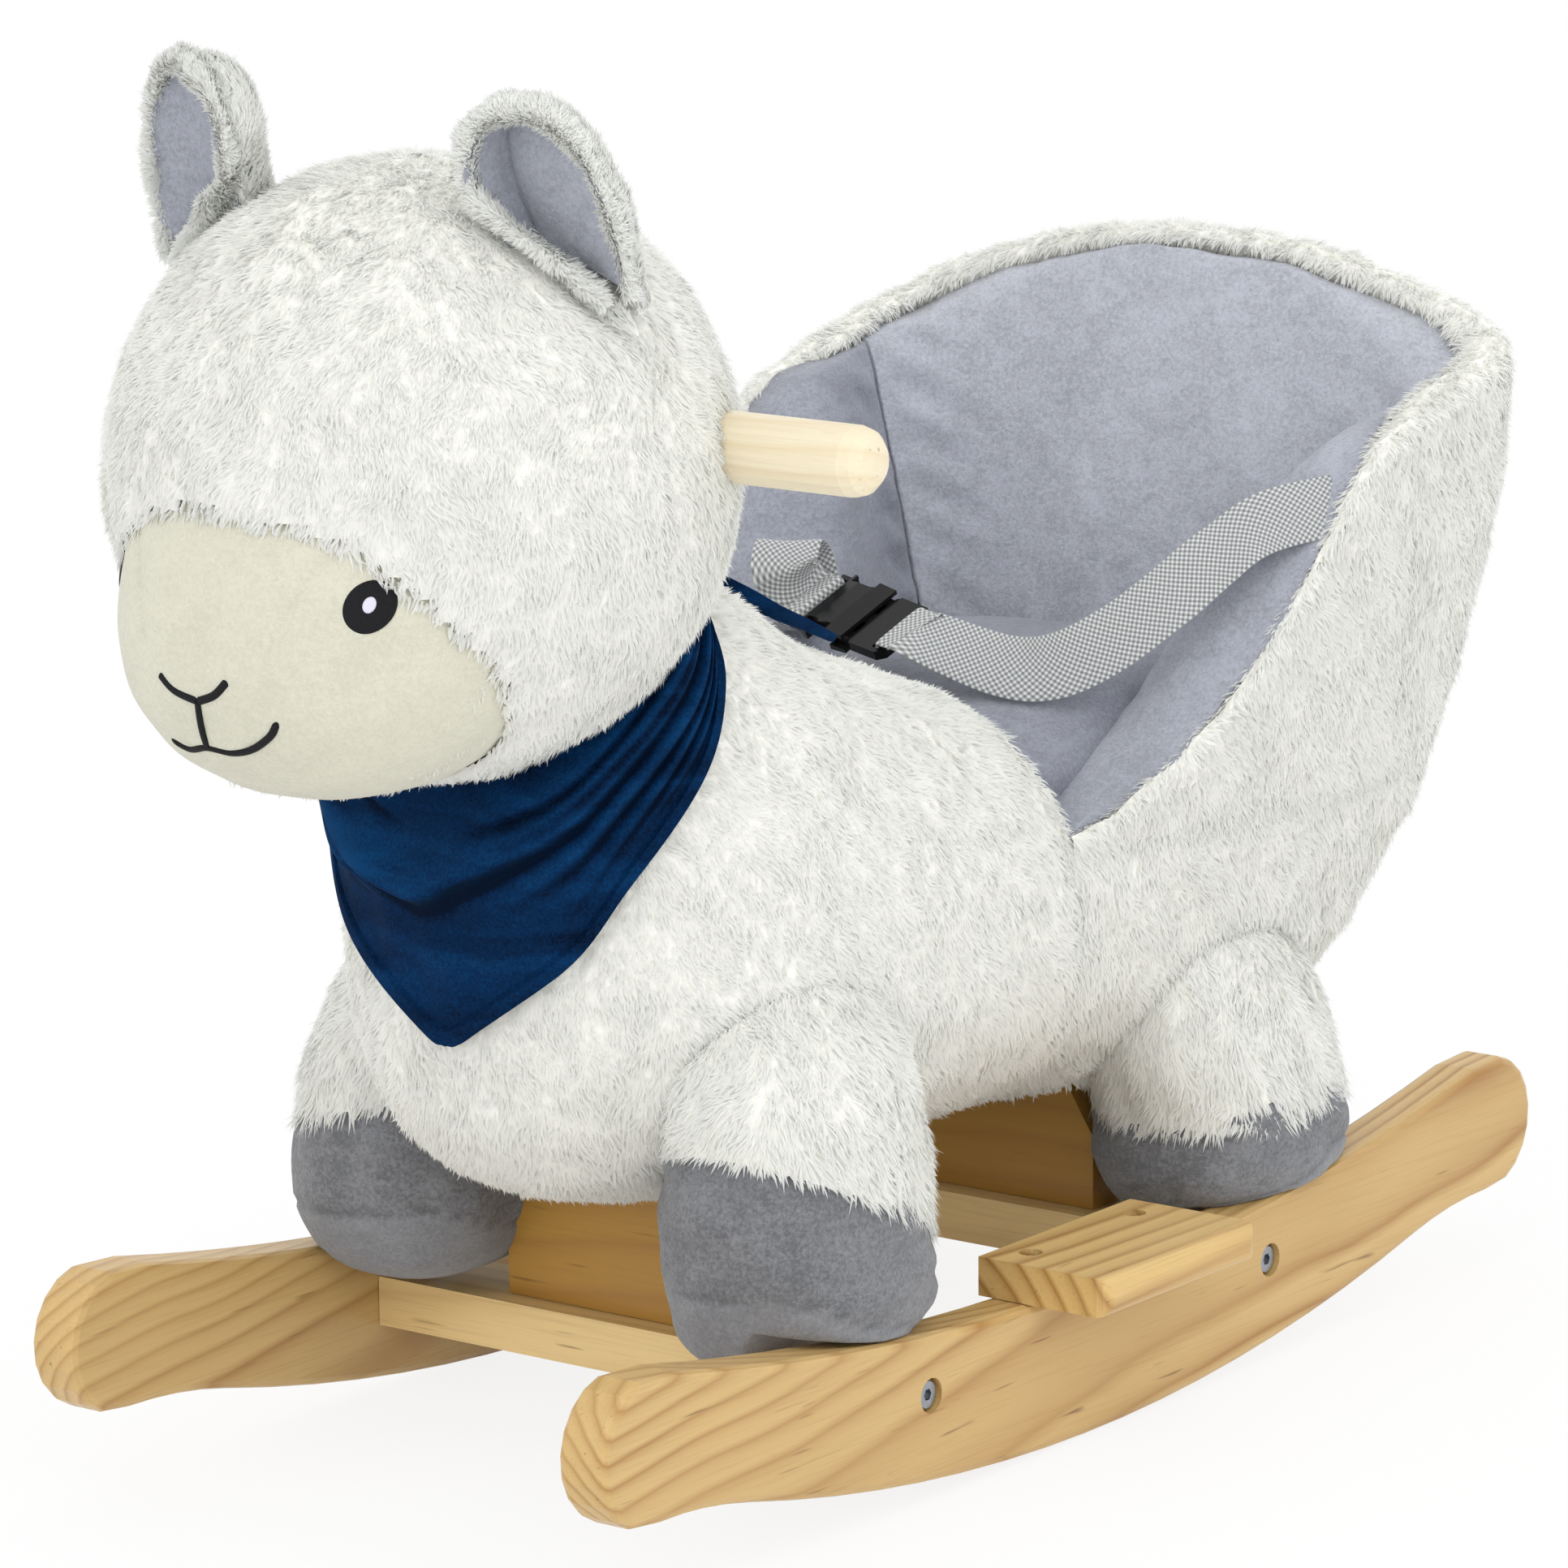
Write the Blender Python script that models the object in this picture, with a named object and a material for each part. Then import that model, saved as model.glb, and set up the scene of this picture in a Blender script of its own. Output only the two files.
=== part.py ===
"""Rocking alpaca: pine rocker base, plywood inner frame, stuffed plush animal with a tub seat and a lap belt.

Frame: +Z up with the floor at z = 0, the animal looks along -Y, +X is its left side. Lengths are metres.
Pieces are laid out with y = 0 at the middle of the rockers and moved back together at the end, so that
the whole stands centred on the origin. All is symmetric about x = 0 but the belt and the right front leg.
"""
import math

import bmesh
import bpy
import numpy as np
from mathutils import Matrix, Vector

# Rocker base
ROCKER_LENGTH = 0.600
ROCKER_WIDTH = 0.2594
BOARD = 0.020
ARC_RADIUS = 0.915
ARC_REACH = 0.215
ARC_STEPS = 9
NOSE_RADIUS = 0.0265
NOSE_HEIGHT = 0.058
TOP_LOW = 0.057
TOP_RADIUS = 1.280
CROSSBAR_Y = 0.1103
CROSSBAR_DEPTH = 0.040
CROSSBAR_HEIGHT = 0.0188
CROSSBAR_TOP = 0.0491
UPRIGHT_WIDTH = 0.110
UPRIGHT_SETBACK = 0.010
UPRIGHT_NECK = 0.072
SHOULDER_LOW = 0.078
SHOULDER_HIGH = 0.108
FOOTREST_LENGTH = 0.0984
FOOTREST_INNER = 0.107
FOOTREST_OUTER = 0.164
FOOTREST_TOP = 0.073
FOOTREST_BOTTOM = 0.0583
FOOTREST_SCREW_X = 0.1192
FOOTREST_SCREW_Y = 0.0335
SOFT_EDGE = 0.003

# Fasteners
BOLT_HEIGHT = 0.0391
COUNTERBORE_RADIUS = 0.0065
COUNTERBORE_DEPTH = 0.0055
BOLT_HEAD_RADIUS = 0.0058
BOLT_HEAD_HEIGHT = 0.0035
BOLT_RADIUS = 0.003
BOLT_LENGTH = 0.050
KEY_FLATS = 0.004
INSERT_RADIUS = 0.005
INSERT_LENGTH = 0.024
SCREW_RADIUS = 0.0019
SCREW_HEAD_RADIUS = 0.0042
SCREW_LENGTH = 0.032
ROUND_STEPS = 16
GAP = 0.0003

# Inner frame of plywood
SEAT_BOARD_BOTTOM = 0.193
SEAT_BOARD_TOP = 0.205
SEAT_BOARD_HALF = 0.085
SEAT_BOARD_FRONT = -0.150
SEAT_BOARD_REAR = 0.238
NECK_BOARD_THICKNESS = 0.018
NECK_BOARD_TOP = 0.428
HANDLE_RADIUS = 0.0125
HANDLE_HALF = 0.161
HANDLE_Y = -0.183
HANDLE_Z = 0.389

# The whole is moved back by this, so that its box is centred on the origin
CENTRING = 0.0261

# Plush body, a barrel along Y with a rounded chest
CHEST_FRONT = -0.217
CHEST_START = -0.080
CHEST_POWER = 2.5
BODY_END = 0.025
BODY_HALF = 0.105
BODY_BOTTOM = 0.098
BODY_TOP_AT_ZERO = 0.285
BODY_TOP_SLOPE = -0.45
BODY_POWER = 2.4
CHEST_HEIGHT = 0.196

# Plush head and face
HEAD_CENTRE = (0.0, -0.228, 0.379)
HEAD_HALF = (0.112, 0.112, 0.110)
FACE_CENTRE = (0.0, -0.275, 0.333)
FACE_HALF = (0.077, 0.076, 0.062)
FACE_RISE = 1.40
EAR_BASE = (0.068, -0.252, 0.464)
EAR_HEIGHT = 0.056
EAR_HALF_WIDTH = 0.039
EAR_DEPTH = 0.023

# Tub seat behind the body
TUB_CENTRE_Y = 0.168
TUB_HALF = 0.152
TUB_REAR = 0.268
TUB_POWER = 8.0
TUB_FULL_HEIGHT = 0.352
TUB_WAIST_IN = 0.062
TUB_WAIST_REAR = 0.062
TUB_WAIST_POWER = 1.6
TUB_V_HALF = 0.100
TUB_BOW = 1.9
INNER_LEVEL = 0.255
INNER_HALF = 0.096
INNER_REAR = 0.206
INNER_LEAN = 0.26
INNER_V_HALF = 0.072
RUMP_BOTTOM = 0.102
RUMP_TOP = 0.2055
RUMP_POWER = 3.4
RIM_LINE = [(0.010, 0.211), (0.038, 0.219), (0.062, 0.233), (0.092, 0.259), (0.120, 0.300), (0.148, 0.340),
            (0.190, 0.357), (0.270, 0.373)]
RIM_CROWN = 0.036
SHELL_THICKNESS = 0.013
TUB_BOARD_THICKNESS = 0.0046
LAYER_GAP = 0.0016
TUB_BOARD_DROP = 0.030
TUB_FLOOR = 0.2061
CORNER_ARC = 0.56
PLAN_STATIONS = (0.0, 0.10, 0.18, 0.25, 0.30, 0.34, 0.38, 0.41, 0.45, 0.46, 0.50, 0.56, 0.64, 0.73, 0.83, 0.92,
                 0.965, 0.995)

# Seat cushion
CUSHION_FRONT = 0.0265
CUSHION_REAR = 0.190
CUSHION_SIDE_GAP = 0.0015
CUSHION_EDGE = 0.226
CUSHION_TOP = 0.259

# Limbs: x, y and lift of each hoof; the right front one is stuffed askew
LEG_SPOTS = {(-1, 1): (0.089, -0.134, 0.0), (-1, -1): (0.089, -0.124, 0.007),
             (1, 1): (0.091, 0.134, 0.0), (1, -1): (0.091, 0.134, 0.0)}
LEG_HALF = (0.041, 0.052)
HOOF_TOP = 0.1145
HOOF_BOTTOM = 0.0494
LEG_TOP = {-1: 0.205, 1: 0.185}

# Scarf
SCARF_THICKNESS = 0.0016
SCARF_OFFSET = 0.0035
SCARF_AXIS_Y = -0.150
SCARF_COLUMNS = 26
SCARF_ROWS = 5

# Lap belt; the buckle's own axes are along the belt, across it and out of its top
WEB_WIDTH = 0.025
WEB_THICKNESS = 0.0016
BUCKLE_CENTRE = (-0.021, 0.056, 0.279)
BUCKLE_AXIS = (0.97, -0.17, -0.14)
BUCKLE_FACING = (0.10, -0.48, 0.87)
SOCKET_BACK = -0.025
SOCKET_MOUTH = 0.005
SOCKET_HALF_WIDTH = 0.0155
SOCKET_HALF_HEIGHT = 0.005
SLOT_HALF_HEIGHT = 0.0026
BAR_HALF_HEIGHT = 0.002
BAR_DEPTH = 0.0028
WEB_SLOT_DEPTH = 0.0036
WEB_SLOT_HALF = 0.0132
PLUG_START = 0.0062
PLUG_END = 0.025
PLUG_HALF_WIDTH = 0.015
TONGUE_TIP = -0.0145
TONGUE_HALF = 0.003
PRONG_ROOT = (0.0056, 0.0108)
PRONG_TIP = -0.0145
PRONG_HALF = 0.0019
PRONG_HALF_HEIGHT = 0.002

WHITE_FUR = (0.86, 0.85, 0.81)
CREAM_PILE = (0.85, 0.80, 0.66)
GREY_PILE = (0.33, 0.33, 0.35)
NAVY_VELVET = (0.01, 0.06, 0.17)
PINE = (0.70, 0.46, 0.22)
PALE_WOOD = (0.80, 0.64, 0.42)
PLYWOOD = (0.62, 0.46, 0.28)
ZINC = (0.62, 0.66, 0.70)
BLACK_NYLON = (0.01, 0.01, 0.011)
GREY_WEB = (0.36, 0.37, 0.36)


def clear_scene():
    for item in list(bpy.data.objects):
        bpy.data.objects.remove(item, do_unlink=True)


def finish_material(name, colour, roughness, metallic=0.0):
    """One Principled BSDF for one piece."""
    material = bpy.data.materials.new(name)
    material.use_nodes = True
    shader = material.node_tree.nodes["Principled BSDF"]
    shader.inputs["Base Color"].default_value = (*colour, 1.0)
    shader.inputs["Roughness"].default_value = roughness
    shader.inputs["Metallic"].default_value = metallic
    return material


def add_piece(name, mesh, colour, roughness=0.8, metallic=0.0, smooth_angle=None):
    """Puts a mesh in the scene as one named piece with its own material."""
    piece = bpy.data.objects.new(name, mesh)
    bpy.context.scene.collection.objects.link(piece)
    mesh.materials.append(finish_material(name + "_finish", colour, roughness, metallic))
    if smooth_angle is not None:
        mesh.shade_smooth()
        mesh.set_sharp_from_angle(angle=math.radians(smooth_angle))
    return piece


def mesh_of(name, points, faces):
    """A mesh with every face turned outwards."""
    mesh = bpy.data.meshes.new(name)
    mesh.from_pydata([tuple(p) for p in points], [], faces)
    work = bmesh.new()
    work.from_mesh(mesh)
    bmesh.ops.recalc_face_normals(work, faces=work.faces)
    work.to_mesh(mesh)
    work.free()
    return mesh


def skin(name, rings, first_tip=None, last_tip=None):
    """A closed body over a row of closed rings, shut at each end by a flat face or drawn to a tip."""
    rings = np.asarray(rings, float)
    count, around = rings.shape[:2]
    points = list(rings.reshape(-1, 3))
    faces = []
    for i in range(count - 1):
        for j in range(around):
            k = (j + 1) % around
            faces.append((i * around + j, i * around + k, (i + 1) * around + k, (i + 1) * around + j))
    for tip, row in ((first_tip, 0), (last_tip, count - 1)):
        loop = [row * around + j for j in range(around)]
        if tip is None:
            faces.append(loop)
            continue
        points.append(tip)
        centre = len(points) - 1
        faces.extend((loop[j], loop[(j + 1) % around], centre) for j in range(around))
    return mesh_of(name, points, faces)


def oval(half_a, half_b, power, count):
    """Points of a superellipse |a/A|^n + |b/B|^n = 1, once round."""
    turn = np.linspace(0.0, 2.0 * np.pi, count, endpoint=False)
    cosine, sine = np.cos(turn), np.sin(turn)
    a = half_a * np.sign(cosine) * np.abs(cosine) ** (2.0 / power)
    b = half_b * np.sign(sine) * np.abs(sine) ** (2.0 / power)
    return np.stack([a, b], axis=1)


def ease(value):
    """0 below 0, 1 above 1, and a smooth S between."""
    t = np.clip(value, 0.0, 1.0)
    return t * t * (3.0 - 2.0 * t)


def through(points, count):
    """A smooth curve through a few points, a Catmull-Rom spline sampled evenly in its parameter."""
    p = np.asarray(points, float)
    p = np.vstack([2 * p[0] - p[1], p, 2 * p[-1] - p[-2]])
    t = np.linspace(0.0, len(p) - 3 - 1e-9, count)
    i = t.astype(int)
    f = (t - i)[:, None]
    a, b, c, d = p[i], p[i + 1], p[i + 2], p[i + 3]
    return 0.5 * (2 * b + (c - a) * f + (2 * a - 5 * b + 4 * c - d) * f**2 + (3 * b - a - 3 * c + d) * f**3)


def slab(name, outline, axis, low, high):
    """A flat outline, given in the two other axes in X, Y, Z order, pulled along one axis."""
    outline = np.asarray(outline, float)
    rings = []
    for level in (low, high):
        rings.append(np.insert(outline, axis, level, axis=1))
    return skin(name, rings)


def block(name, low, high):
    """A plain box between two corners."""
    outline = [(low[0], low[1]), (high[0], low[1]), (high[0], high[1]), (low[0], high[1])]
    return slab(name, outline, 2, low[2], high[2])


def turned(name, profile, steps=ROUND_STEPS):
    """A solid turned about Z from (radius, height) pairs, low to high, with flat ends."""
    turn = np.linspace(0.0, 2.0 * np.pi, steps, endpoint=False)
    rings = [np.stack([r * np.cos(turn), r * np.sin(turn), np.full(steps, z)], axis=1) for r, z in profile]
    return skin(name, rings)


def place(mesh, matrix):
    mesh.transform(matrix)
    return mesh


def turn_to(direction, origin):
    """The matrix that carries +Z to a direction and the origin to a point."""
    return Matrix.Translation(Vector(origin)) @ Vector(direction).to_track_quat("Z", "Y").to_matrix().to_4x4()


def cutter_from(mesh, name):
    cutter = bpy.data.objects.new(name, mesh)
    bpy.context.scene.collection.objects.link(cutter)
    cutter.hide_render = True
    cutter.display_type = "WIRE"
    return cutter


def clearance(piece, gap=GAP):
    """A hidden copy of a piece's own mesh, grown along its normals, that cuts its neighbours."""
    mesh = piece.data.copy()
    count = len(mesh.vertices)
    points = np.empty(count * 3)
    normals = np.empty(count * 3)
    mesh.vertices.foreach_get("co", points)
    mesh.vertices.foreach_get("normal", normals)
    mesh.vertices.foreach_set("co", points + gap * normals)
    mesh.update()
    return cutter_from(mesh, "clear_" + piece.name)


def cut(piece, *cutters):
    for cutter in cutters:
        step = piece.modifiers.new("cut_" + cutter.name, "BOOLEAN")
        step.operation = "DIFFERENCE"
        step.solver = "EXACT"
        step.object = cutter


def soften(piece, width, segments=2, angle=40.0):
    step = piece.modifiers.new("soft_edge", "BEVEL")
    step.width = width
    step.segments = segments
    step.limit_method = "ANGLE"
    step.angle_limit = math.radians(angle)


# Rocker base


def rocker_half():
    """Half outline in (y, z) for y > 0: floor arc, hollow, nose circle and the hollow top edge."""
    y = (np.arange(ARC_STEPS) + 0.5) * ARC_REACH / (ARC_STEPS - 0.5)
    rise = ARC_RADIUS - np.sqrt(ARC_RADIUS**2 - y**2)
    points = list(zip(y, rise - rise[0]))
    centre = (ROCKER_LENGTH / 2 - NOSE_RADIUS, NOSE_HEIGHT)
    start, end = points[-1], (centre[0] - 0.006, centre[1] - NOSE_RADIUS)
    slope = start[0] / ARC_RADIUS
    for t in (0.25, 0.5, 0.75, 1.0):
        run = end[0] - start[0]
        lift = (end[1] - start[1]) * ease(t) + run * slope * t * (1 - t) ** 2
        points.append((start[0] + run * t, start[1] + lift))
    for angle in np.radians(np.linspace(-70.0, 80.0, 9)):
        points.append((centre[0] + NOSE_RADIUS * math.cos(angle), centre[1] + NOSE_RADIUS * math.sin(angle)))
    for y in np.linspace(0.258, 0.018, 11):
        points.append((y, TOP_LOW + y * y / (2.0 * TOP_RADIUS)))
    return points


def rocker_outline():
    half = rocker_half()
    return half + [(-y, z) for y, z in reversed(half)]


def bolt_seats(side):
    """Cutters for one rocker: a counterbore and a clear hole at each crossbar."""
    outer = ROCKER_WIDTH / 2
    for end in (-1, 1):
        profile = [(BOLT_RADIUS + GAP, 0.0), (BOLT_RADIUS + GAP, BOARD - COUNTERBORE_DEPTH + 0.005),
                   (COUNTERBORE_RADIUS, BOARD - COUNTERBORE_DEPTH + 0.005), (COUNTERBORE_RADIUS, BOARD + 0.01)]
        origin = (side * (outer - BOARD - 0.005), end * CROSSBAR_Y, BOLT_HEIGHT)
        mesh = place(turned("bolt_seat", profile), turn_to((side, 0, 0), origin))
        yield cutter_from(mesh, f"bolt_seat_{side}_{end}")


def screw_seat(side, end, low, head_gap):
    """The hole and countersink for one footrest screw."""
    radius = SCREW_RADIUS + GAP
    top = FOOTREST_TOP
    profile = [(radius, low), (radius, top - 0.0072), (SCREW_HEAD_RADIUS + head_gap, top - 0.0030),
               (SCREW_HEAD_RADIUS + head_gap, top + 0.004)]
    mesh = turned("screw_seat", profile)
    mesh.transform(Matrix.Translation((side * FOOTREST_SCREW_X, end * FOOTREST_SCREW_Y, 0.0)))
    return cutter_from(mesh, f"screw_seat_{side}_{end}")


def make_rocker(side, label, screw_cutters):
    outer = side * ROCKER_WIDTH / 2
    low, high = sorted((outer, outer - side * BOARD))
    piece = add_piece("rocker_" + label, slab("rocker", rocker_outline(), 0, low, high), PINE, 0.45, smooth_angle=35)
    soften(piece, SOFT_EDGE, 2, 50.0)
    cut(piece, *bolt_seats(side), *screw_cutters)
    return piece


def make_crossbar(end, label):
    """A flat bar between the rockers, bored at each end for a threaded insert and its bolt."""
    half = ROCKER_WIDTH / 2 - BOARD - GAP
    y = end * CROSSBAR_Y
    low = (-half, y - CROSSBAR_DEPTH / 2, CROSSBAR_TOP - CROSSBAR_HEIGHT)
    high = (half, y + CROSSBAR_DEPTH / 2, CROSSBAR_TOP)
    piece = add_piece(label + "_crossbar", block("crossbar", low, high), PINE, 0.45)
    for side in (-1, 1):
        depth, step = INSERT_LENGTH + 0.013, INSERT_LENGTH + 3 * GAP
        profile = [(BOLT_RADIUS + GAP, -depth), (BOLT_RADIUS + GAP, -step), (INSERT_RADIUS + GAP, -step),
                   (INSERT_RADIUS + GAP, 0.004)]
        bore = place(turned("insert_bore", profile), turn_to((side, 0, 0), (side * half, y, BOLT_HEIGHT)))
        cut(piece, cutter_from(bore, f"insert_bore_{label}_{side}"))
    return piece


def make_insert(side, end, label):
    """A threaded insert: a plain sleeve round the bolt, flush with the crossbar's end."""
    half = ROCKER_WIDTH / 2 - BOARD - 2 * GAP
    turn = np.linspace(0.0, 2.0 * np.pi, ROUND_STEPS, endpoint=False)
    rim = np.stack([np.cos(turn), np.sin(turn)], axis=1)
    loops = [(INSERT_RADIUS, 0.0), (INSERT_RADIUS, -INSERT_LENGTH), (BOLT_RADIUS + GAP, -INSERT_LENGTH),
             (BOLT_RADIUS + GAP, 0.0)]
    rings = np.stack([np.insert(rim * radius, 2, z, axis=1) for radius, z in loops], axis=1)
    points = rings.reshape(-1, 3)
    faces = []
    for i in range(ROUND_STEPS):
        nxt = (i + 1) % ROUND_STEPS
        faces.extend((i * 4 + j, nxt * 4 + j, nxt * 4 + (j + 1) % 4, i * 4 + (j + 1) % 4) for j in range(4))
    mesh = mesh_of("insert", points, faces)
    place(mesh, turn_to((side, 0, 0), (side * half, end * CROSSBAR_Y, BOLT_HEIGHT)))
    return add_piece("threaded_insert_" + label, mesh, ZINC, 0.4, 1.0, 40)


def make_bolt(side, end, label):
    """A socket-head bolt whose head sits on the counterbore's floor."""
    floor = ROCKER_WIDTH / 2 - COUNTERBORE_DEPTH + GAP
    profile = [(BOLT_RADIUS * 0.8, -BOLT_LENGTH), (BOLT_RADIUS, -BOLT_LENGTH + 0.001), (BOLT_RADIUS, 0.0),
               (BOLT_HEAD_RADIUS, 0.0), (BOLT_HEAD_RADIUS, BOLT_HEAD_HEIGHT - 0.0008),
               (BOLT_HEAD_RADIUS - 0.0008, BOLT_HEAD_HEIGHT)]
    matrix = turn_to((side, 0, 0), (side * floor, end * CROSSBAR_Y, BOLT_HEIGHT))
    piece = add_piece("rocker_bolt_" + label, place(turned("bolt", profile), matrix), ZINC, 0.35, 1.0, 40)
    key = turned("key", [(KEY_FLATS / math.sqrt(3.0), 0.0012), (KEY_FLATS / math.sqrt(3.0), 0.006)], 6)
    cut(piece, cutter_from(place(key, matrix), "key_" + label))
    return piece


def upright_outline():
    """The board's face in (x, z): full width at the foot, chamfered shoulders, a narrower neck."""
    half, neck = UPRIGHT_WIDTH / 2, UPRIGHT_NECK / 2
    foot, top = CROSSBAR_TOP + GAP, SEAT_BOARD_BOTTOM - GAP
    right = [(half, foot), (half, SHOULDER_LOW), (neck, SHOULDER_HIGH), (neck, top)]
    return right + [(-x, z) for x, z in reversed(right)]


def upright_span(end):
    """The two faces of an upright in y; its front face is set back from its crossbar's front face."""
    front = end * CROSSBAR_Y - CROSSBAR_DEPTH / 2 + UPRIGHT_SETBACK
    return front, front + BOARD


def make_upright(end, label):
    low, high = upright_span(end)
    piece = add_piece(label + "_upright", slab("upright", upright_outline(), 1, low, high), PINE, 0.5)
    return piece


def make_footrest(side, label, cutters):
    x = sorted((side * FOOTREST_INNER, side * FOOTREST_OUTER))
    half = FOOTREST_LENGTH / 2
    mesh = block("footrest", (x[0], -half, FOOTREST_BOTTOM), (x[1], half, FOOTREST_TOP))
    piece = add_piece("footrest_" + label, mesh, PINE, 0.45, smooth_angle=35)
    work = bmesh.new()
    work.from_mesh(mesh)
    outer = side * FOOTREST_OUTER
    edges = [e for e in work.edges if all(abs(v.co.x - outer) < 1e-6 for v in e.verts)]
    bmesh.ops.bevel(work, geom=edges, offset=0.005, segments=3, profile=0.5, affect="EDGES")
    work.to_mesh(mesh)
    work.free()
    mesh.shade_smooth()
    mesh.set_sharp_from_angle(angle=math.radians(35.0))
    cut(piece, *cutters)
    return piece


def make_screw(side, end, label):
    """A countersunk wood screw through the footrest into the rocker."""
    top = FOOTREST_TOP - 0.0022
    profile = [(SCREW_RADIUS * 0.3, top - SCREW_LENGTH), (SCREW_RADIUS, top - SCREW_LENGTH + 0.004),
               (SCREW_RADIUS, top - 0.0052), (SCREW_HEAD_RADIUS, top - 0.0013), (SCREW_HEAD_RADIUS, top)]
    mesh = turned("screw", profile, 12)
    mesh.transform(Matrix.Translation((side * FOOTREST_SCREW_X, end * FOOTREST_SCREW_Y, 0.0)))
    piece = add_piece("footrest_screw_" + label, mesh, ZINC, 0.4, 1.0, 40)
    slot = block("cross", (-0.0004, -0.0022, top - 0.0009), (0.0004, 0.0022, top + 0.001))
    other = block("cross", (-0.0022, -0.0004, top - 0.0009), (0.0022, 0.0004, top + 0.001))
    for index, tool in enumerate((slot, other)):
        tool.transform(Matrix.Translation((side * FOOTREST_SCREW_X, end * FOOTREST_SCREW_Y, 0.0)))
        cut(piece, cutter_from(tool, f"cross_{label}_{index}"))
    return piece


def make_base():
    sides = ((-1, "right"), (1, "left"))
    ends = ((-1, "front"), (1, "rear"))
    for side, side_name in sides:
        seats = [screw_seat(side, end, FOOTREST_TOP - SCREW_LENGTH - 0.004, 0.0004) for end, _ in ends]
        make_rocker(side, side_name, seats)
        make_footrest(side, side_name, seats)
        for end, end_name in ends:
            make_screw(side, end, f"{side_name}_{end_name}")
            make_bolt(side, end, f"{side_name}_{end_name}")
            make_insert(side, end, f"{side_name}_{end_name}")
    for end, end_name in ends:
        make_crossbar(end, end_name)
        make_upright(end, end_name)


# Inner frame


def make_seat_board():
    """The plywood floor that joins the two uprights and carries the seat."""
    half, front, rear = SEAT_BOARD_HALF, SEAT_BOARD_FRONT, SEAT_BOARD_REAR
    right = [(0.035, front), (half - 0.02, -0.06), (half, 0.0), (half, rear - 0.02), (half - 0.02, rear)]
    outline = right + [(-x, y) for x, y in reversed(right)]
    return add_piece("seat_board", slab("seat_board", outline, 2, SEAT_BOARD_BOTTOM, SEAT_BOARD_TOP), PLYWOOD, 0.6)


def neck_board_outline():
    """The upright plank in (y, z) that carries the handle up into the head."""
    foot, top = SEAT_BOARD_TOP + GAP, NECK_BOARD_TOP
    return [(-0.186, foot + 0.05), (-0.150, foot), (-0.100, foot), (-0.148, top - 0.05), (-0.160, top),
            (-0.206, top), (-0.216, top - 0.02), (-0.206, top - 0.09)]


def make_neck_board(handle_bore):
    half = NECK_BOARD_THICKNESS / 2
    piece = add_piece("neck_board", slab("neck_board", neck_board_outline(), 0, -half, half), PLYWOOD, 0.6)
    cut(piece, handle_bore)
    return piece


def handle_profile(radius, half):
    """A dowel with quarter-round ends."""
    soft = 0.009
    ends = [(radius - soft + soft * math.sin(a), soft * (1 - math.cos(a))) for a in np.radians([0, 30, 60, 90])]
    low = [(r, -half + z) for r, z in ends]
    return low + [(r, -z) for r, z in reversed(low)]


def make_handle():
    mesh = turned("handle", handle_profile(HANDLE_RADIUS, HANDLE_HALF), 20)
    place(mesh, turn_to((1, 0, 0), (0.0, HANDLE_Y, HANDLE_Z)))
    return add_piece("handle_dowel", mesh, PALE_WOOD, 0.5, smooth_angle=40)


# Plush body and head


def body_section(y):
    """Half width, middle height and half height of the barrel at y."""
    y = np.asarray(y, float)
    ahead = np.clip((CHEST_START - y) / (CHEST_START - CHEST_FRONT), 0.0, 1.0)
    full = (1.0 - ahead**CHEST_POWER) ** (1.0 / CHEST_POWER)
    top = BODY_TOP_AT_ZERO + BODY_TOP_SLOPE * y
    waist = 1.0 - 0.035 * ease((y + 0.03) / 0.055)
    middle = (top + BODY_BOTTOM) / 2
    middle = middle + (CHEST_HEIGHT - middle) * ahead**2
    return BODY_HALF * full * waist, middle, (top - BODY_BOTTOM) / 2 * full


def facet(mesh):
    """Splits every face the same way, so that a grown copy keeps an even gap."""
    work = bmesh.new()
    work.from_mesh(mesh)
    bmesh.ops.triangulate(work, faces=work.faces, quad_method="FIXED")
    work.to_mesh(mesh)
    work.free()
    return mesh


def body_rings(around=20):
    """Rings closer together towards the rounded chest."""
    ahead = np.sin(np.linspace(0.97, 0.0, 8) * np.pi / 2)
    y = np.concatenate([CHEST_START - ahead * (CHEST_START - CHEST_FRONT),
                        np.linspace(CHEST_START, BODY_END, 5)[1:]])
    rings = []
    for value in y:
        half, middle, height = body_section(value)
        section = oval(half, height, BODY_POWER, around)
        rings.append(np.stack([section[:, 0], np.full(around, value), middle + section[:, 1]], axis=1))
    return rings


def body_level(x, y, z):
    """Below 1 inside the barrel, above 1 outside."""
    half, middle, height = body_section(y)
    half = np.maximum(half, 1e-6)
    height = np.maximum(height, 1e-6)
    return (np.abs(x) / half) ** BODY_POWER + (np.abs(z - middle) / height) ** BODY_POWER


def make_body(cutters):
    mesh = facet(skin("body", body_rings(), first_tip=(0.0, CHEST_FRONT, CHEST_HEIGHT)))
    piece = add_piece("body_plush", mesh, WHITE_FUR, 0.95, smooth_angle=50)
    cut(piece, *cutters)
    return piece


def ball_rings(centre, half, rows, around, power=2.0):
    """Level rings of an egg |x|^n + |y|^n round, elliptic in height, without its two poles."""
    rings = []
    for angle in np.linspace(-np.pi / 2, np.pi / 2, rows + 2)[1:-1]:
        level = oval(half[0] * math.cos(angle), half[1] * math.cos(angle), power, around)
        height = np.full(around, centre[2] + half[2] * math.sin(angle))
        rings.append(np.stack([centre[0] + level[:, 0], centre[1] + level[:, 1], height], axis=1))
    return rings


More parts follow.
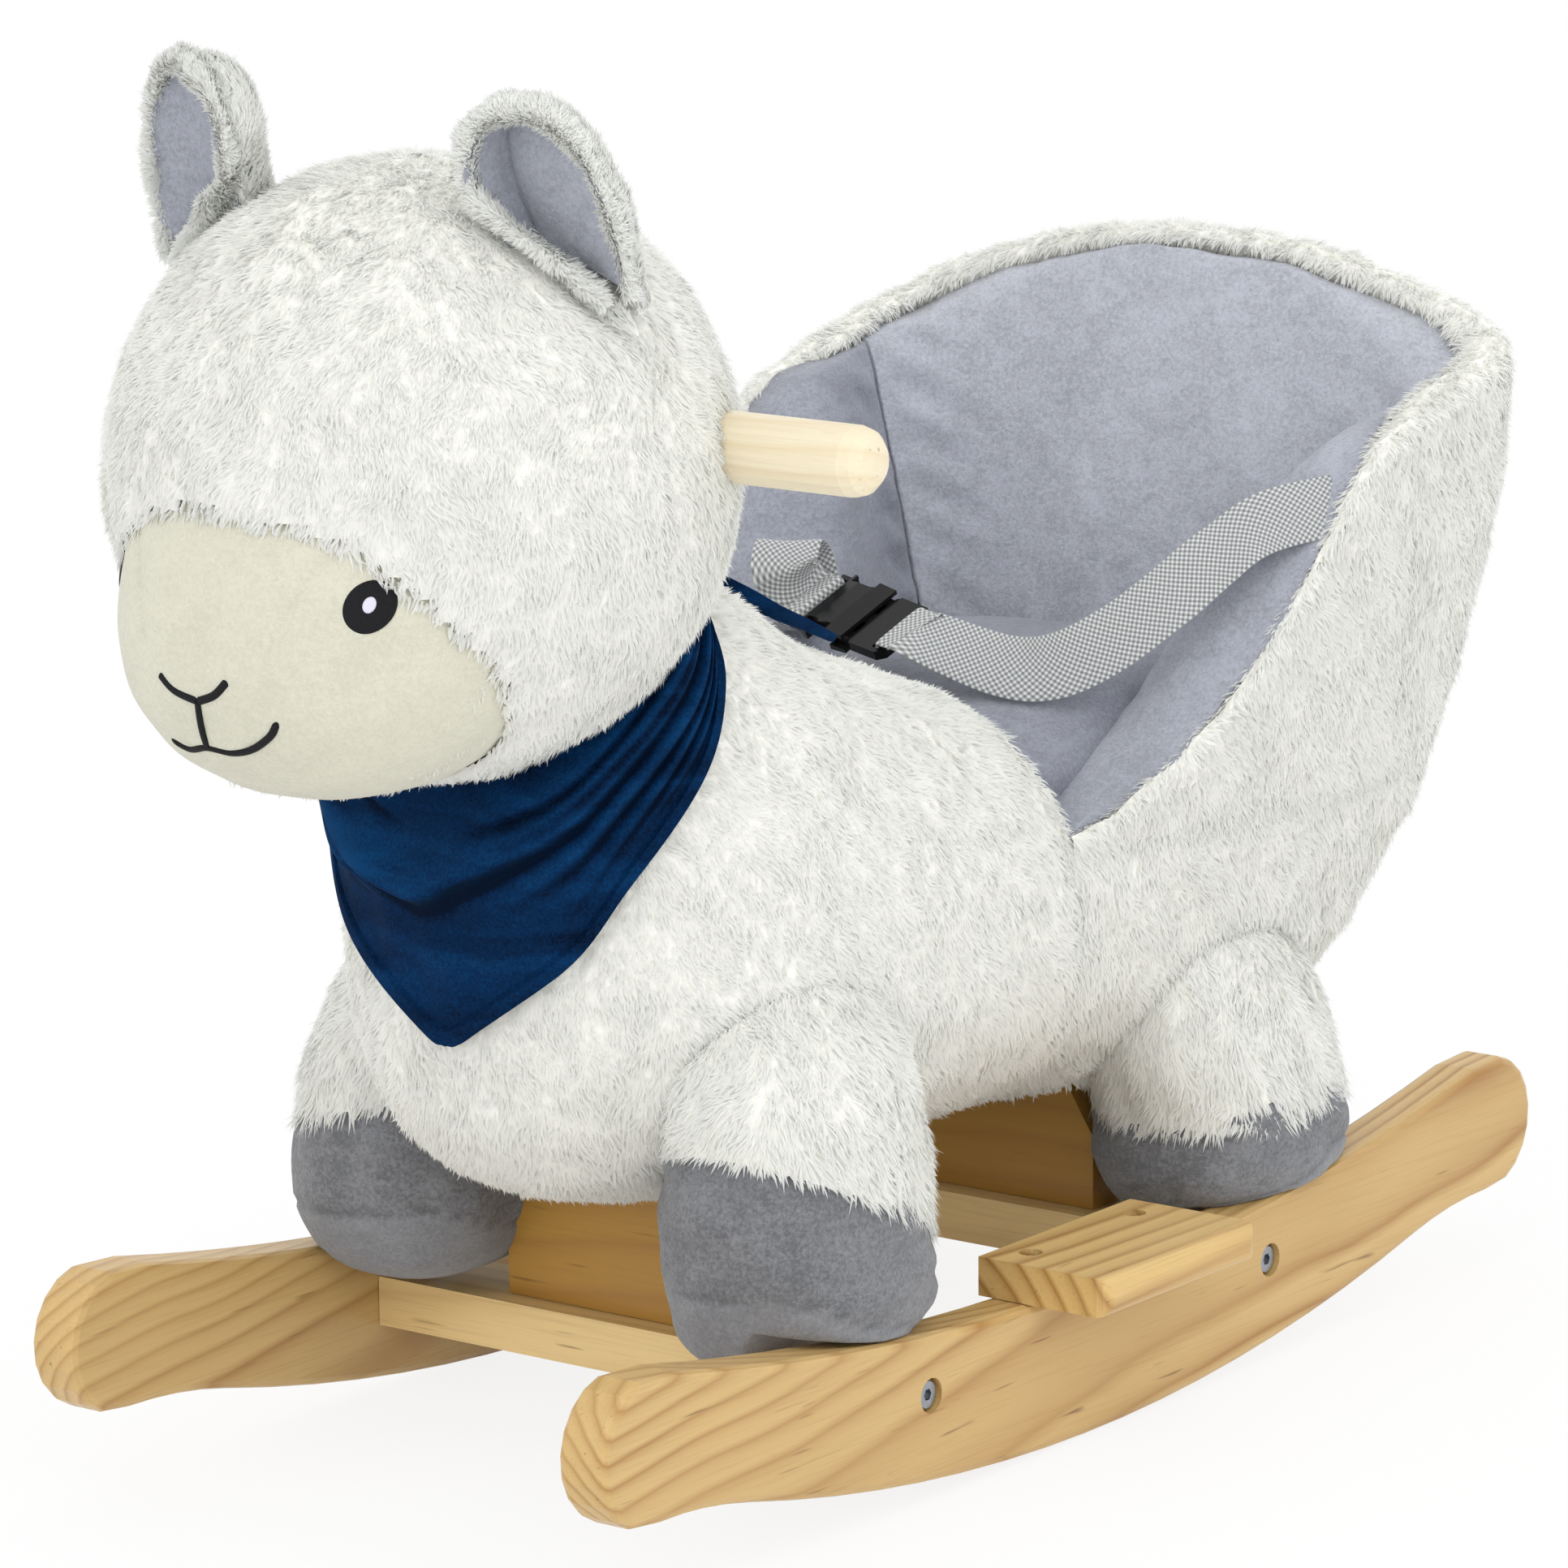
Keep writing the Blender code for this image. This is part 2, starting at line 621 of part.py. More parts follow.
def make_head(cutters):
    """A round head, a little flatter on the crown and tucked in below where it meets the neck."""
    piece = add_piece("head_plush", head_mesh(0.0), WHITE_FUR, 0.95, smooth_angle=50)
    cut(piece, *cutters)
    return piece


def head_mesh(grow):
    half = [h + grow for h in HEAD_HALF]
    x, y, z = HEAD_CENTRE
    return facet(skin("head", ball_rings(HEAD_CENTRE, half, 10, 22), (x, y, z - half[2]), (x, y, z + half[2])))


def make_face(head_clear):
    """The short-pile muzzle: an egg, taller above its middle, that narrows to the front and juts out."""
    x, y, z = FACE_CENTRE
    rings = np.array(ball_rings(FACE_CENTRE, FACE_HALF, 9, 20, 2.2))
    ahead = np.clip((y - rings[..., 1]) / FACE_HALF[1], 0.0, 1.0)
    above = rings[..., 2] > z
    rings[..., 0] *= 1.0 - 0.13 * ahead**2
    rings[..., 2] = np.where(above, z + (rings[..., 2] - z) * FACE_RISE, rings[..., 2]) - 0.006 * ahead**2
    mesh = skin("face", rings, (x, y, z - FACE_HALF[2]), (x, y, z + FACE_HALF[2] * FACE_RISE))
    piece = add_piece("face_patch", mesh, CREAM_PILE, 0.9, smooth_angle=50)
    cut(piece, head_clear)
    return piece


def ear_frame(side):
    """Base point, upward, outward-width and facing directions of one ear."""
    base = np.array([side * EAR_BASE[0], EAR_BASE[1], EAR_BASE[2]])
    up = np.array([side * 0.07, -0.36, 0.93])
    facing = np.array([side * 0.42, -0.89, -0.10])
    up /= np.linalg.norm(up)
    facing -= up * facing.dot(up)
    facing /= np.linalg.norm(facing)
    across = np.cross(up, facing) * side * -1.0
    return base, up, across, facing


def crescent(half_width, depth, thick, count):
    """A C-shaped section: a deep outer arc and a shallower inner one, open towards +b."""
    angle = np.linspace(-0.56, 0.56, count) * np.pi
    outer = np.stack([half_width * np.sin(angle), -depth * np.cos(angle)], axis=1)
    inner = np.stack([(half_width - thick) * np.sin(angle), -(depth - thick) * np.cos(angle)], axis=1)
    return np.vstack([outer, inner[::-1]])


def ear_rings(side, inset, thick, low, high):
    """Crescents up the ear, shrinking to its round tip; the base slopes down to the outer side."""
    base, up, across, facing = ear_frame(side)
    rings = []
    for h in low + (high - low) * np.array([0.0, 0.34, 0.62, 0.82, 0.94, 1.0]):
        narrow = (1.0 - max(h, 0.0) ** 3.0) ** (1.0 / 3.0)
        flare = 0.80 + 0.22 * float(ease((h + 0.1) / 0.5))
        half, depth = EAR_HALF_WIDTH * narrow * flare - inset, EAR_DEPTH * (0.35 + 0.65 * narrow) - inset
        section = crescent(half, depth, thick * (0.45 + 0.55 * narrow), 8)
        slope = -0.75 * section[:, 0] * (1.0 - 0.75 * max(h, 0.0))
        lift = h * EAR_HEIGHT + slope
        rings.append(base + np.outer(section[:, 0], across) + np.outer(section[:, 1], facing) + np.outer(lift, up))
    return rings


def make_ears(head_clear):
    for side, label in ((-1, "right"), (1, "left")):
        ear = add_piece("ear_" + label, skin("ear", ear_rings(side, 0.0, 0.008, -0.35, 0.985)), WHITE_FUR, 0.95,
                        smooth_angle=60)
        lining = add_piece("ear_lining_" + label, skin("lining", ear_rings(side, 0.0094, 0.0056, -0.35, 0.90)),
                           GREY_PILE, 0.9, smooth_angle=60)
        cut(ear, head_clear)
        cut(lining, head_clear)


# Tub seat


def seat_levels(z):
    """Outer half width, outer rear, inner half width and inner rear of the tub at height z."""
    low = np.clip((TUB_FULL_HEIGHT - z) / (TUB_FULL_HEIGHT - RUMP_BOTTOM), 0.0, 1.0) ** TUB_WAIST_POWER
    half = TUB_HALF - TUB_WAIST_IN * low
    rear = TUB_REAR - TUB_WAIST_REAR * low
    lean = INNER_LEAN * (z - INNER_LEVEL)
    return half, rear, INNER_HALF + lean, INNER_REAR + lean


def plan_curve(s, half, rear, front_half, power, bow):
    """Half the tub's plan for s from 0 at the rear middle to 1 at the V: a squarish corner, then a side
    that bows in towards the body."""
    s = np.asarray(s, float)
    side = np.abs(s)
    turn = np.clip(side / CORNER_ARC, 0.0, 1.0) * np.pi / 2
    cosine, sine = np.maximum(np.cos(turn), 0.0), np.sin(turn)
    reach = ((cosine / (rear - TUB_CENTRE_Y)) ** power + (sine / half) ** power) ** (-1.0 / power)
    x = reach * sine
    y = TUB_CENTRE_Y + reach * cosine
    ahead = np.clip((side - CORNER_ARC) / (1.0 - CORNER_ARC), 0.0, 1.0)
    y = np.where(side > CORNER_ARC, TUB_CENTRE_Y - ahead * (TUB_CENTRE_Y - BODY_END - GAP), y)
    x = np.where(side > CORNER_ARC, half - (half - front_half) * ahead**bow, x)
    return np.sign(s) * x, y


def rim_height(x, y):
    """The rim rises from the V beside the body, levels along the wing and crowns over the back."""
    line = through(RIM_LINE, 90)
    crown = RIM_CROWN * np.clip(1.0 - (x / TUB_HALF) ** 2, 0.0, 1.0) * ease((y - 0.17) / 0.07)
    return np.interp(y, line[:, 0], line[:, 1]) + crown


def wall_point(s, z, depth):
    """A point of the tub wall at plan position s and height z, some depth in from the outer face."""
    half, rear, inner_half, inner_rear = seat_levels(z)
    x0, y0 = plan_curve(s, half, rear, np.minimum(TUB_V_HALF, half), TUB_POWER, TUB_BOW)
    x1, y1 = plan_curve(s, inner_half, inner_rear, INNER_V_HALF, TUB_POWER, 1.3)
    run = np.hypot(x1 - x0, y1 - y0)
    share = depth / run
    return x0 + (x1 - x0) * share, y0 + (y1 - y0) * share, run


def rim_at(s):
    x, y, _ = wall_point(s, 0.30, 0.0)
    return rim_height(x, y)


def stations(first, last):
    """The shared plan positions from first to last, so that neighbouring layers bend at the same places."""
    half = np.array(PLAN_STATIONS)
    every = np.concatenate([-half[:0:-1], half])
    return every[(every > first - 1e-6) & (every < last + 1e-6)]


def layer_sections(positions, outer, inner, drop, bulge):
    """Upright sections of one wall layer: outer face up, a rounded top, inner face down.
    outer and inner are depths from the outer face, inner None for the tub's inner face."""
    rings = []
    for s in positions:
        rim = rim_at(s)
        top = rim - drop
        levels = [TUB_FLOOR + (rim - TUB_FLOOR) * t for t in (0.0, 0.28, 0.58)]
        board_top = rim - TUB_BOARD_DROP
        if board_top <= levels[-1]:
            board_top = TUB_FLOOR + 0.72 * (rim - TUB_FLOOR)
        if top > board_top:
            levels.append(board_top)
        reach = [wall_point(s, z, 0.0)[2] if inner is None else inner for z in levels + [top]]
        ring = [(*wall_point(s, z, outer)[:2], z) for z in levels]
        edge = outer
        if inner is None:
            edge = SHELL_THICKNESS + GAP
            step = board_top + min(0.003, 0.1 * (rim - TUB_FLOOR))
            ring.append((*wall_point(s, step, outer)[:2], step))
            ring.append((*wall_point(s, step + 0.1 * (top - step), edge)[:2], step + 0.1 * (top - step)))
        span = reach[-1] - edge
        for share, fall in ((0.04, 0.4), (0.3, 0.0), (0.68, 0.06), (0.93, 0.45)):
            ring.append((*wall_point(s, top, edge + span * share)[:2], top - fall * bulge))
        for z, depth in list(zip(levels, reach))[::-1]:
            ring.append((*wall_point(s, z, depth)[:2], z))
        rings.append(ring)
    return rings


def make_tub_shell():
    """The fur-covered outer wall round the back and both wings."""
    s = stations(-0.995, 0.995)
    s = s[~np.isin(np.abs(s), (0.45, 0.965))]
    rings = layer_sections(s, 0.0, SHELL_THICKNESS, 0.0, 0.006)
    add_piece("tub_shell", skin("tub_shell", rings), WHITE_FUR, 0.95, smooth_angle=60)


def make_tub_boards():
    """Bent panels inside the wall: one behind the back, one in each wing."""
    outer = SHELL_THICKNESS + LAYER_GAP
    inner = outer + TUB_BOARD_THICKNESS
    for name, first, last in (("back_board", -0.34, 0.34), ("wing_board_left", 0.46, 0.73),
                              ("wing_board_right", -0.73, -0.46)):
        rings = layer_sections(stations(first, last), outer, inner, TUB_BOARD_DROP, 0.001)
        add_piece(name, skin(name, rings), PLYWOOD, 0.6, smooth_angle=60)


def make_tub_pads():
    """The grey padding: a back panel and two wings that bulge over the rim."""
    outer = SHELL_THICKNESS + TUB_BOARD_THICKNESS + 2 * LAYER_GAP
    pads = []
    for name, first, last, drop in (("back_pad", -0.45, 0.45, 0.008), ("wing_pad_left", 0.46, 0.965, -0.002),
                                    ("wing_pad_right", -0.965, -0.46, -0.002)):
        rings = layer_sections(stations(first, last), outer, None, drop, 0.016)
        pads.append(add_piece(name, skin(name, rings), GREY_PILE, 0.9, smooth_angle=60))
    return pads


def make_rump(cutters):
    """The stuffed hindquarters under the seat: level plans of the tub's own outline, rounded below."""
    rings = []
    s = stations(-1.0, 1.0)
    s[[0, -1]] = -1.0, 1.0
    for t in (0.0, 0.14, 0.4, 0.7, 1.0):
        z = RUMP_BOTTOM + (RUMP_TOP - RUMP_BOTTOM) * t
        half, rear, _, _ = seat_levels(z)
        _, middle, height = body_section(BODY_END)
        front = BODY_HALF * 0.965 * max(1.0 - abs((z - middle) / height) ** BODY_POWER, 0.02) ** (1 / BODY_POWER)
        power = RUMP_POWER + (TUB_POWER - RUMP_POWER) * ease(t)
        x, y = plan_curve(s, half, rear, min(front, half), power, TUB_BOW)
        tuck = 1.0 - 0.14 * (1.0 - ease(t / 0.5)) ** 2
        x = x * tuck
        y = BODY_END + GAP + (y - BODY_END - GAP) * tuck
        rings.append(np.stack([x, y, np.full_like(x, z)], axis=1))
    piece = add_piece("rump_plush", facet(skin("rump", rings)), WHITE_FUR, 0.95, smooth_angle=50)
    cut(piece, *cutters)
    return piece


def make_cushion():
    """A crowned seat cushion between the wings. Its front droops at the sides, as the body below it does,
    and its sides are drawn in between the corners."""
    rows, columns = 9, 11
    v = np.sin(np.linspace(-1.0, 1.0, rows) * 1.45)[:, None] / math.sin(1.45)
    u = np.sin(np.linspace(-1.0, 1.0, columns) * np.pi / 2)[None, :]
    middle = (CUSHION_REAR + CUSHION_FRONT) / 2
    y = middle + (CUSHION_REAR - CUSHION_FRONT) / 2 * v + 0.0 * u
    _, _, low_half, _ = seat_levels(TUB_FLOOR)
    s = CORNER_ARC + (1.0 - CORNER_ARC) * np.clip((TUB_CENTRE_Y - y) / (TUB_CENTRE_Y - BODY_END), 0.0, 1.0)
    inner, _ = plan_curve(s, low_half, INNER_REAR, INNER_V_HALF, TUB_POWER, 1.3)
    corner = 1.0 - 0.10 * np.clip((y - TUB_CENTRE_Y) / (CUSHION_REAR - TUB_CENTRE_Y), 0.0, 1.0) ** 2
    x = (inner - CUSHION_SIDE_GAP) * corner * u * (1.0 - 0.02 * (1.0 - v**2) * np.abs(u) ** 3)
    fill = (1.0 - np.abs(u) ** 5) ** 0.5 * (1.0 - v**8) ** 0.45
    droop = (0.007 + 0.050 * (np.abs(x) / BODY_HALF) ** 2.4) * (1.0 - ease((y - CUSHION_FRONT) / 0.080))
    top = CUSHION_EDGE + (CUSHION_TOP - CUSHION_EDGE - droop) * fill
    upper = np.stack([x, y, top], axis=-1)
    lower = np.stack([x * 0.97, middle + (y - middle) * 0.98, np.full_like(top, TUB_FLOOR + GAP)], axis=-1)
    return add_piece("seat_cushion", two_sheets("cushion", upper, lower), GREY_PILE, 0.9, smooth_angle=60)


def two_sheets(name, upper, lower):
    """A closed body between two grids of equal size, joined round their edge."""
    rows, columns = upper.shape[:2]
    points = np.vstack([upper.reshape(-1, 3), lower.reshape(-1, 3)])
    shift = rows * columns
    faces = []
    for i in range(rows - 1):
        for j in range(columns - 1):
            a, b, c, d = i * columns + j, i * columns + j + 1, (i + 1) * columns + j + 1, (i + 1) * columns + j
            faces.append((a, b, c, d))
            faces.append((a + shift, d + shift, c + shift, b + shift))
    edge = [j for j in range(columns)]
    edge += [i * columns + columns - 1 for i in range(1, rows)]
    edge += [(rows - 1) * columns + j for j in range(columns - 2, -1, -1)]
    edge += [i * columns for i in range(rows - 2, 0, -1)]
    for a, b in zip(edge, edge[1:] + edge[:1]):
        faces.append((a, a + shift, b + shift, b))
    return mesh_of(name, points, faces)


# Limbs


def limb_rings(centre, heights, scales, shifts, around=14):
    """Ovals up a limb: each level has its own scale and its own shift in x and y."""
    side = 1.0 if centre[0] > 0 else -1.0
    rings = []
    for z, scale, shift in zip(heights, scales, shifts):
        level = oval(LEG_HALF[0] * scale, LEG_HALF[1] * scale, 2.2, around)
        x = centre[0] + side * shift[0] + level[:, 0]
        rings.append(np.stack([x, centre[1] + shift[1] + level[:, 1], np.full(around, z)], axis=1))
    return rings


def make_limbs(plush_clear, base_clear):
    hoof_steps = np.array([0.0, 0.10, 0.35, 1.0])
    leg_steps = np.array([0.0, 0.3, 0.65, 0.9, 1.0])
    for end, end_name in ((-1, "front"), (1, "rear")):
        for side, side_name in ((-1, "right"), (1, "left")):
            x, y, lift = LEG_SPOTS[end, side]
            centre = (side * x, y)
            label = f"{end_name}_{side_name}"
            hoof_levels = HOOF_BOTTOM + lift + (HOOF_TOP - HOOF_BOTTOM) * hoof_steps
            hoof = skin("hoof", limb_rings(centre, hoof_levels, (0.76, 0.94, 1.05, 0.99), [(0.0, 0.0)] * 4))
            hoof = add_piece("hoof_" + label, hoof, GREY_PILE, 0.9, smooth_angle=60)
            cut(hoof, *base_clear[end], *plush_clear[end])
            leg_foot = HOOF_TOP + lift + GAP
            leg_levels = leg_foot + (LEG_TOP[end] - leg_foot) * leg_steps
            lean = [(-0.02 * t, -end * 0.012 * t) for t in leg_steps]
            leg = skin("leg", limb_rings(centre, leg_levels, (1.02, 1.09, 0.95, 0.58, 0.2), lean))
            leg = add_piece("leg_" + label, leg, WHITE_FUR, 0.95, smooth_angle=60)
            cut(leg, *plush_clear[end])


# Scarf


def scarf_surface(turn, z):
    """Where a level ray from the neck's axis, turned by an angle from straight ahead, leaves the body."""
    low, high = np.zeros_like(z), np.full_like(z, 0.16)
    for _ in range(30):
        reach = (low + high) / 2
        inside = body_level(reach * np.sin(turn), SCARF_AXIS_Y - reach * np.cos(turn), z) < 1.0
        low, high = np.where(inside, reach, low), np.where(inside, high, reach)
    return low


def body_normal(points):
    """Outward directions on the barrel, from small differences of its level along X, Y and Z."""
    step = 1e-4
    slopes = []
    for shift in np.eye(3) * step:
        ahead, behind = points + shift, points - shift
        slopes.append(body_level(*np.moveaxis(ahead, -1, 0)) - body_level(*np.moveaxis(behind, -1, 0)))
    normal = np.stack(slopes, axis=-1)
    return normal / np.linalg.norm(normal, axis=-1, keepdims=True)


def scarf_grid():
    """Rows from the lower to the upper edge, columns once round the neck, with soft draped folds.
    Returns the scarf's inner face and its outward directions."""
    turn = np.linspace(-np.pi, np.pi, SCARF_COLUMNS, endpoint=False)
    degrees = np.abs(np.degrees(turn))
    lower = np.interp(degrees, (0, 8, 38, 54, 73, 88, 110, 180), (172, 175, 204, 234, 270, 303, 312, 312)) / 1000
    upper = np.interp(degrees, (0, 23, 45, 77, 110, 180), (270, 273, 288, 321, 329, 329)) / 1000
    v = np.linspace(0.0, 1.0, SCARF_ROWS)[:, None]
    z = lower + (upper - lower) * v
    turn = np.broadcast_to(turn, z.shape)
    reach = scarf_surface(turn, z)
    points = np.stack([reach * np.sin(turn), SCARF_AXIS_Y - reach * np.cos(turn), z], axis=-1)
    normal = body_normal(points)
    front = np.cos(turn / 2) ** 4
    fold = 0.0035 * front * (1 + np.sin(v * 13.0 + 2.2 * np.abs(turn))) * np.sin(np.pi * v) ** 0.5
    return points + normal * (SCARF_OFFSET + fold)[..., None], normal


def make_scarf(head_clear):
    """A navy kerchief: a closed band round the neck that drops to a point on the chest. Its two faces are
    split along the same diagonals, so that they stay apart in the folds."""
    grid, normal = scarf_grid()
    outer = grid + normal * SCARF_THICKNESS
    loops = np.concatenate([grid, outer[::-1]], axis=0)
    rows, columns = loops.shape[:2]
    faces = []
    for i in range(rows):
        for j in range(columns):
            k, n = (j + 1) % columns, (i + 1) % rows
            a, b, c, d = i * columns + j, i * columns + k, n * columns + k, n * columns + j
            faces.extend([(a, b, c), (a, c, d)] if i < SCARF_ROWS else [(a, b, d), (b, c, d)])
    mesh = mesh_of("scarf", loops.reshape(-1, 3), faces)
    piece = add_piece("bandana", mesh, NAVY_VELVET, 0.85, smooth_angle=70)
    cut(piece, head_clear)
    tail_path = [(0.0, y, body_top(y) + 0.0045) for y in (-0.039, -0.026, -0.008, 0.008)]
    tail = ribbon("tail", tail_path, [(1.0, 0.0, 0.0)] * 4, [0.016, 0.022, 0.015, 0.003], SCARF_THICKNESS, 9)
    add_piece("bandana_tail", tail, NAVY_VELVET, 0.85, smooth_angle=60)
    knot = skin("knot", ball_rings((0.0, -0.048, 0.317), (0.013, 0.0085, 0.0075), 4, 10), (0.0, -0.048, 0.3095),
                (0.0, -0.048, 0.3245))
    knot = add_piece("bandana_knot", knot, NAVY_VELVET, 0.85, smooth_angle=60)
    cut(knot, clearance(piece, 0.0006))


def body_top(y):
    _, middle, height = body_section(y)
    return float(middle + height)


# Belt


def ribbon(name, path, across, widths, thickness, steps):
    """A flat strap along a smooth path; across gives its width direction at each route point."""
    centre = through(path, steps)
    side = through(across, steps)
    width = np.interp(np.linspace(0.0, 1.0, steps), np.linspace(0.0, 1.0, len(widths)), widths)[:, None]
    ahead = np.gradient(centre, axis=0)
    side = side - ahead * (np.sum(side * ahead, axis=1) / np.sum(ahead * ahead, axis=1))[:, None]
    side /= np.linalg.norm(side, axis=1)[:, None]
    face = np.cross(ahead, side)
    face /= np.linalg.norm(face, axis=1)[:, None]
    corners = ((-1, -1), (1, -1), (1, 1), (-1, 1))
    rings = np.stack([centre + side * a * width / 2 + face * b * thickness / 2 for a, b in corners], axis=1)
    return skin(name, rings)


def buckle_matrix():
    """Carries the buckle's own axes, along, across and out of its top, to the world."""
    along = Vector(BUCKLE_AXIS).normalized()
    across = Vector(BUCKLE_FACING).cross(along).normalized()
    out = along.cross(across)
    return Matrix.Translation(Vector(BUCKLE_CENTRE)) @ Matrix((along, across, out)).transposed().to_4x4()


def make_socket(frame):
    """Two curved plates round a slot that is open at the mouth and at both sides, with a webbing bar behind.
    Each side is cut away where a prong's barb shows."""
    back, mouth, high, slot = SOCKET_BACK, SOCKET_MOUTH, SOCKET_HALF_HEIGHT, SLOT_HALF_HEIGHT
    neck = back + BAR_DEPTH + WEB_SLOT_DEPTH
    upper = [(back, BAR_HALF_HEIGHT), (neck - 0.0004, BAR_HALF_HEIGHT), (neck + 0.0012, high * 0.86),
             (-0.012, high), (-0.004, high), (mouth, high * 0.84)]
    inside = [(mouth, slot), (neck + 0.0022, slot)]
    profile = upper + inside + [(a, -c) for a, c in reversed(inside)] + [(a, -c) for a, c in reversed(upper)]
    mesh = slab("socket", profile, 1, -SOCKET_HALF_WIDTH, SOCKET_HALF_WIDTH)
    socket = add_piece("buckle_socket", place(mesh, frame), BLACK_NYLON, 0.25, smooth_angle=30)
    web = block("web", (back + BAR_DEPTH, -WEB_SLOT_HALF, -0.01), (neck, WEB_SLOT_HALF, 0.01))
    cut(socket, cutter_from(place(web, frame), "socket_web_slot"))
    for side in (-1, 1):
        y = sorted((side * 0.0118, side * 0.02))
        notch = block("notch", (PRONG_TIP - 0.0015, y[0], -0.01), (-0.0035, y[1], 0.01))
        cut(socket, cutter_from(place(notch, frame), f"socket_window_{side}"))


def make_plug(frame):
    """A flat plug with a guide tongue and a webbing bar; its two prongs are pieces of their own."""
    half = PLUG_HALF_WIDTH
    right = [(PLUG_END, half - 0.003), (PLUG_END - 0.003, half), (PLUG_START + 0.002, half),
             (PLUG_START, half - 0.002), (PLUG_START, TONGUE_HALF), (TONGUE_TIP, TONGUE_HALF)]
    mesh = slab("plug", right + [(a, -b) for a, b in reversed(right)], 2, -BAR_HALF_HEIGHT, BAR_HALF_HEIGHT)
    plug = add_piece("buckle_plug", place(mesh, frame), BLACK_NYLON, 0.25, smooth_angle=30)
    start = PLUG_END - BAR_DEPTH - WEB_SLOT_DEPTH
    web = block("web", (start, -WEB_SLOT_HALF + 0.0004, -0.01), (PLUG_END - BAR_DEPTH, WEB_SLOT_HALF - 0.0004, 0.01))
    cut(plug, cutter_from(place(web, frame), "plug_web_slot"))


def make_prongs(frame):
    """Two springy arms that end in barbs; each turns about the root where it leaves the plug."""
    root, middle = PRONG_ROOT
    half = PRONG_HALF
    for side, label in ((-1, "front"), (1, "rear")):
        outline = [(root, middle - half), (PRONG_TIP + 0.001, middle - half - 0.0006),
                   (PRONG_TIP, middle - half + 0.0006), (PRONG_TIP + 0.002, middle + half),
                   (PRONG_TIP + 0.0065, middle + half + 0.0022), (PRONG_TIP + 0.0105, middle + half + 0.0022),
                   (PRONG_TIP + 0.0112, middle + half), (root, middle + half)]
        mesh = slab("prong", [(a, side * b) for a, b in outline], 2, -PRONG_HALF_HEIGHT, PRONG_HALF_HEIGHT)
        pivot = Matrix.Translation(Vector((-root, -side * middle, 0.0)))
        prong = add_piece("buckle_prong_" + label, place(mesh, pivot), BLACK_NYLON, 0.25, smooth_angle=30)
        prong.matrix_world = frame @ pivot.inverted()


def make_belt(pads):
    """Each strap leaves the pad near the rim, hangs to the buckle, crosses its end bar and dips behind it."""
    frame = buckle_matrix()
    make_socket(frame)
    make_plug(frame)
    make_prongs(frame)
    over = BAR_HALF_HEIGHT + WEB_THICKNESS / 2 + 0.0011
    across = frame.to_3x3() @ Vector((0.0, 1.0, 0.0))
    on_edge = (0.08, 0.40, 0.91)
    near = ((0.118, 0.122, 0.322), (0.105, 0.109, 0.312), (0.092, 0.096, 0.299), (0.075, 0.083, 0.284),
            (0.058, 0.071, 0.275), (0.041, 0.061, 0.272))
    far = ((-0.117, 0.126, 0.325), (-0.095, 0.108, 0.315), (-0.074, 0.088, 0.304), (-0.060, 0.072, 0.294))
    for side, label, end, slack in ((1, "left", PLUG_END, near), (-1, "right", SOCKET_BACK, far)):
        bar = [(end + side * 0.012, 0.0, over), (end + side * 0.005, 0.0, over + 0.0003), (end, 0.0, over),
               (end - side * 0.0031, 0.0, over), (end - side * 0.0046, 0.0, 0.0005)]
        path = [(side * 0.1265, 0.136, 0.325), *slack, *(tuple(frame @ Vector(p)) for p in bar)]
        keys = np.array([(side * 0.35, 0.72, 0.60), on_edge, on_edge, tuple(across), tuple(across)])
        share = np.linspace(0.0, 1.0, len(path))
        sides = np.stack([np.interp(share, (0.0, 0.33, 0.48, 0.62, 1.0), keys[:, i]) for i in range(3)], axis=1)
        mesh = ribbon("belt", path, sides, [WEB_WIDTH, WEB_WIDTH], WEB_THICKNESS, 22)
        strap = add_piece("belt_" + label, mesh, GREY_WEB, 0.8, smooth_angle=40)
        for pad in pads:
            if pad.name.endswith(label):
                cut(pad, clearance(strap, 0.0006))


def main():
    clear_scene()
    make_base()
    seat_board = make_seat_board()
    handle = make_handle()
    handle_clear = clearance(handle)
    neck_board = make_neck_board(handle_clear)
    head_clear = cutter_from(head_mesh(GAP), "clear_head")
    board_clear = clearance(seat_board, 0.0006)
    neck_clear = clearance(neck_board, 0.0006)
    upright_clear = {}
    for end in (-1, 1):
        low, high = upright_span(end)
        mesh = block("upright_clear", (-UPRIGHT_WIDTH / 2 - GAP, low - GAP, 0.04),
                     (UPRIGHT_WIDTH / 2 + GAP, high + GAP, SEAT_BOARD_BOTTOM + GAP))
        upright_clear[end] = cutter_from(mesh, f"clear_upright_{end}")
    body = make_body([head_clear, board_clear, neck_clear, upright_clear[-1]])
    make_head([handle_clear, neck_clear])
    make_face(head_clear)
    make_ears(head_clear)
    rump = make_rump([board_clear, upright_clear[1]])
    make_tub_shell()
    make_tub_boards()
    make_belt(make_tub_pads())
    make_cushion()
    rocker_clear = []
    for side in (-1, 1):
        outer = side * (ROCKER_WIDTH / 2 + GAP)
        low, high = sorted((outer, outer - side * (BOARD + 2 * GAP)))
        outline = [(y, z + GAP) for y, z in rocker_outline()]
        rocker_clear.append(cutter_from(slab("rocker_clear", outline, 0, low, high), f"clear_rocker_{side}"))
    rump_clear = clearance(rump, 0.0012)
    torso_clear = clearance(body, 0.0012)
    make_limbs({-1: [torso_clear], 1: [rump_clear, torso_clear]},
               {-1: rocker_clear + [upright_clear[-1]], 1: rocker_clear + [upright_clear[1]]})
    make_scarf(head_clear)
    bpy.context.view_layer.update()
    for item in bpy.data.objects:
        item.matrix_world = Matrix.Translation(Vector((0.0, CENTRING, 0.0))) @ item.matrix_world


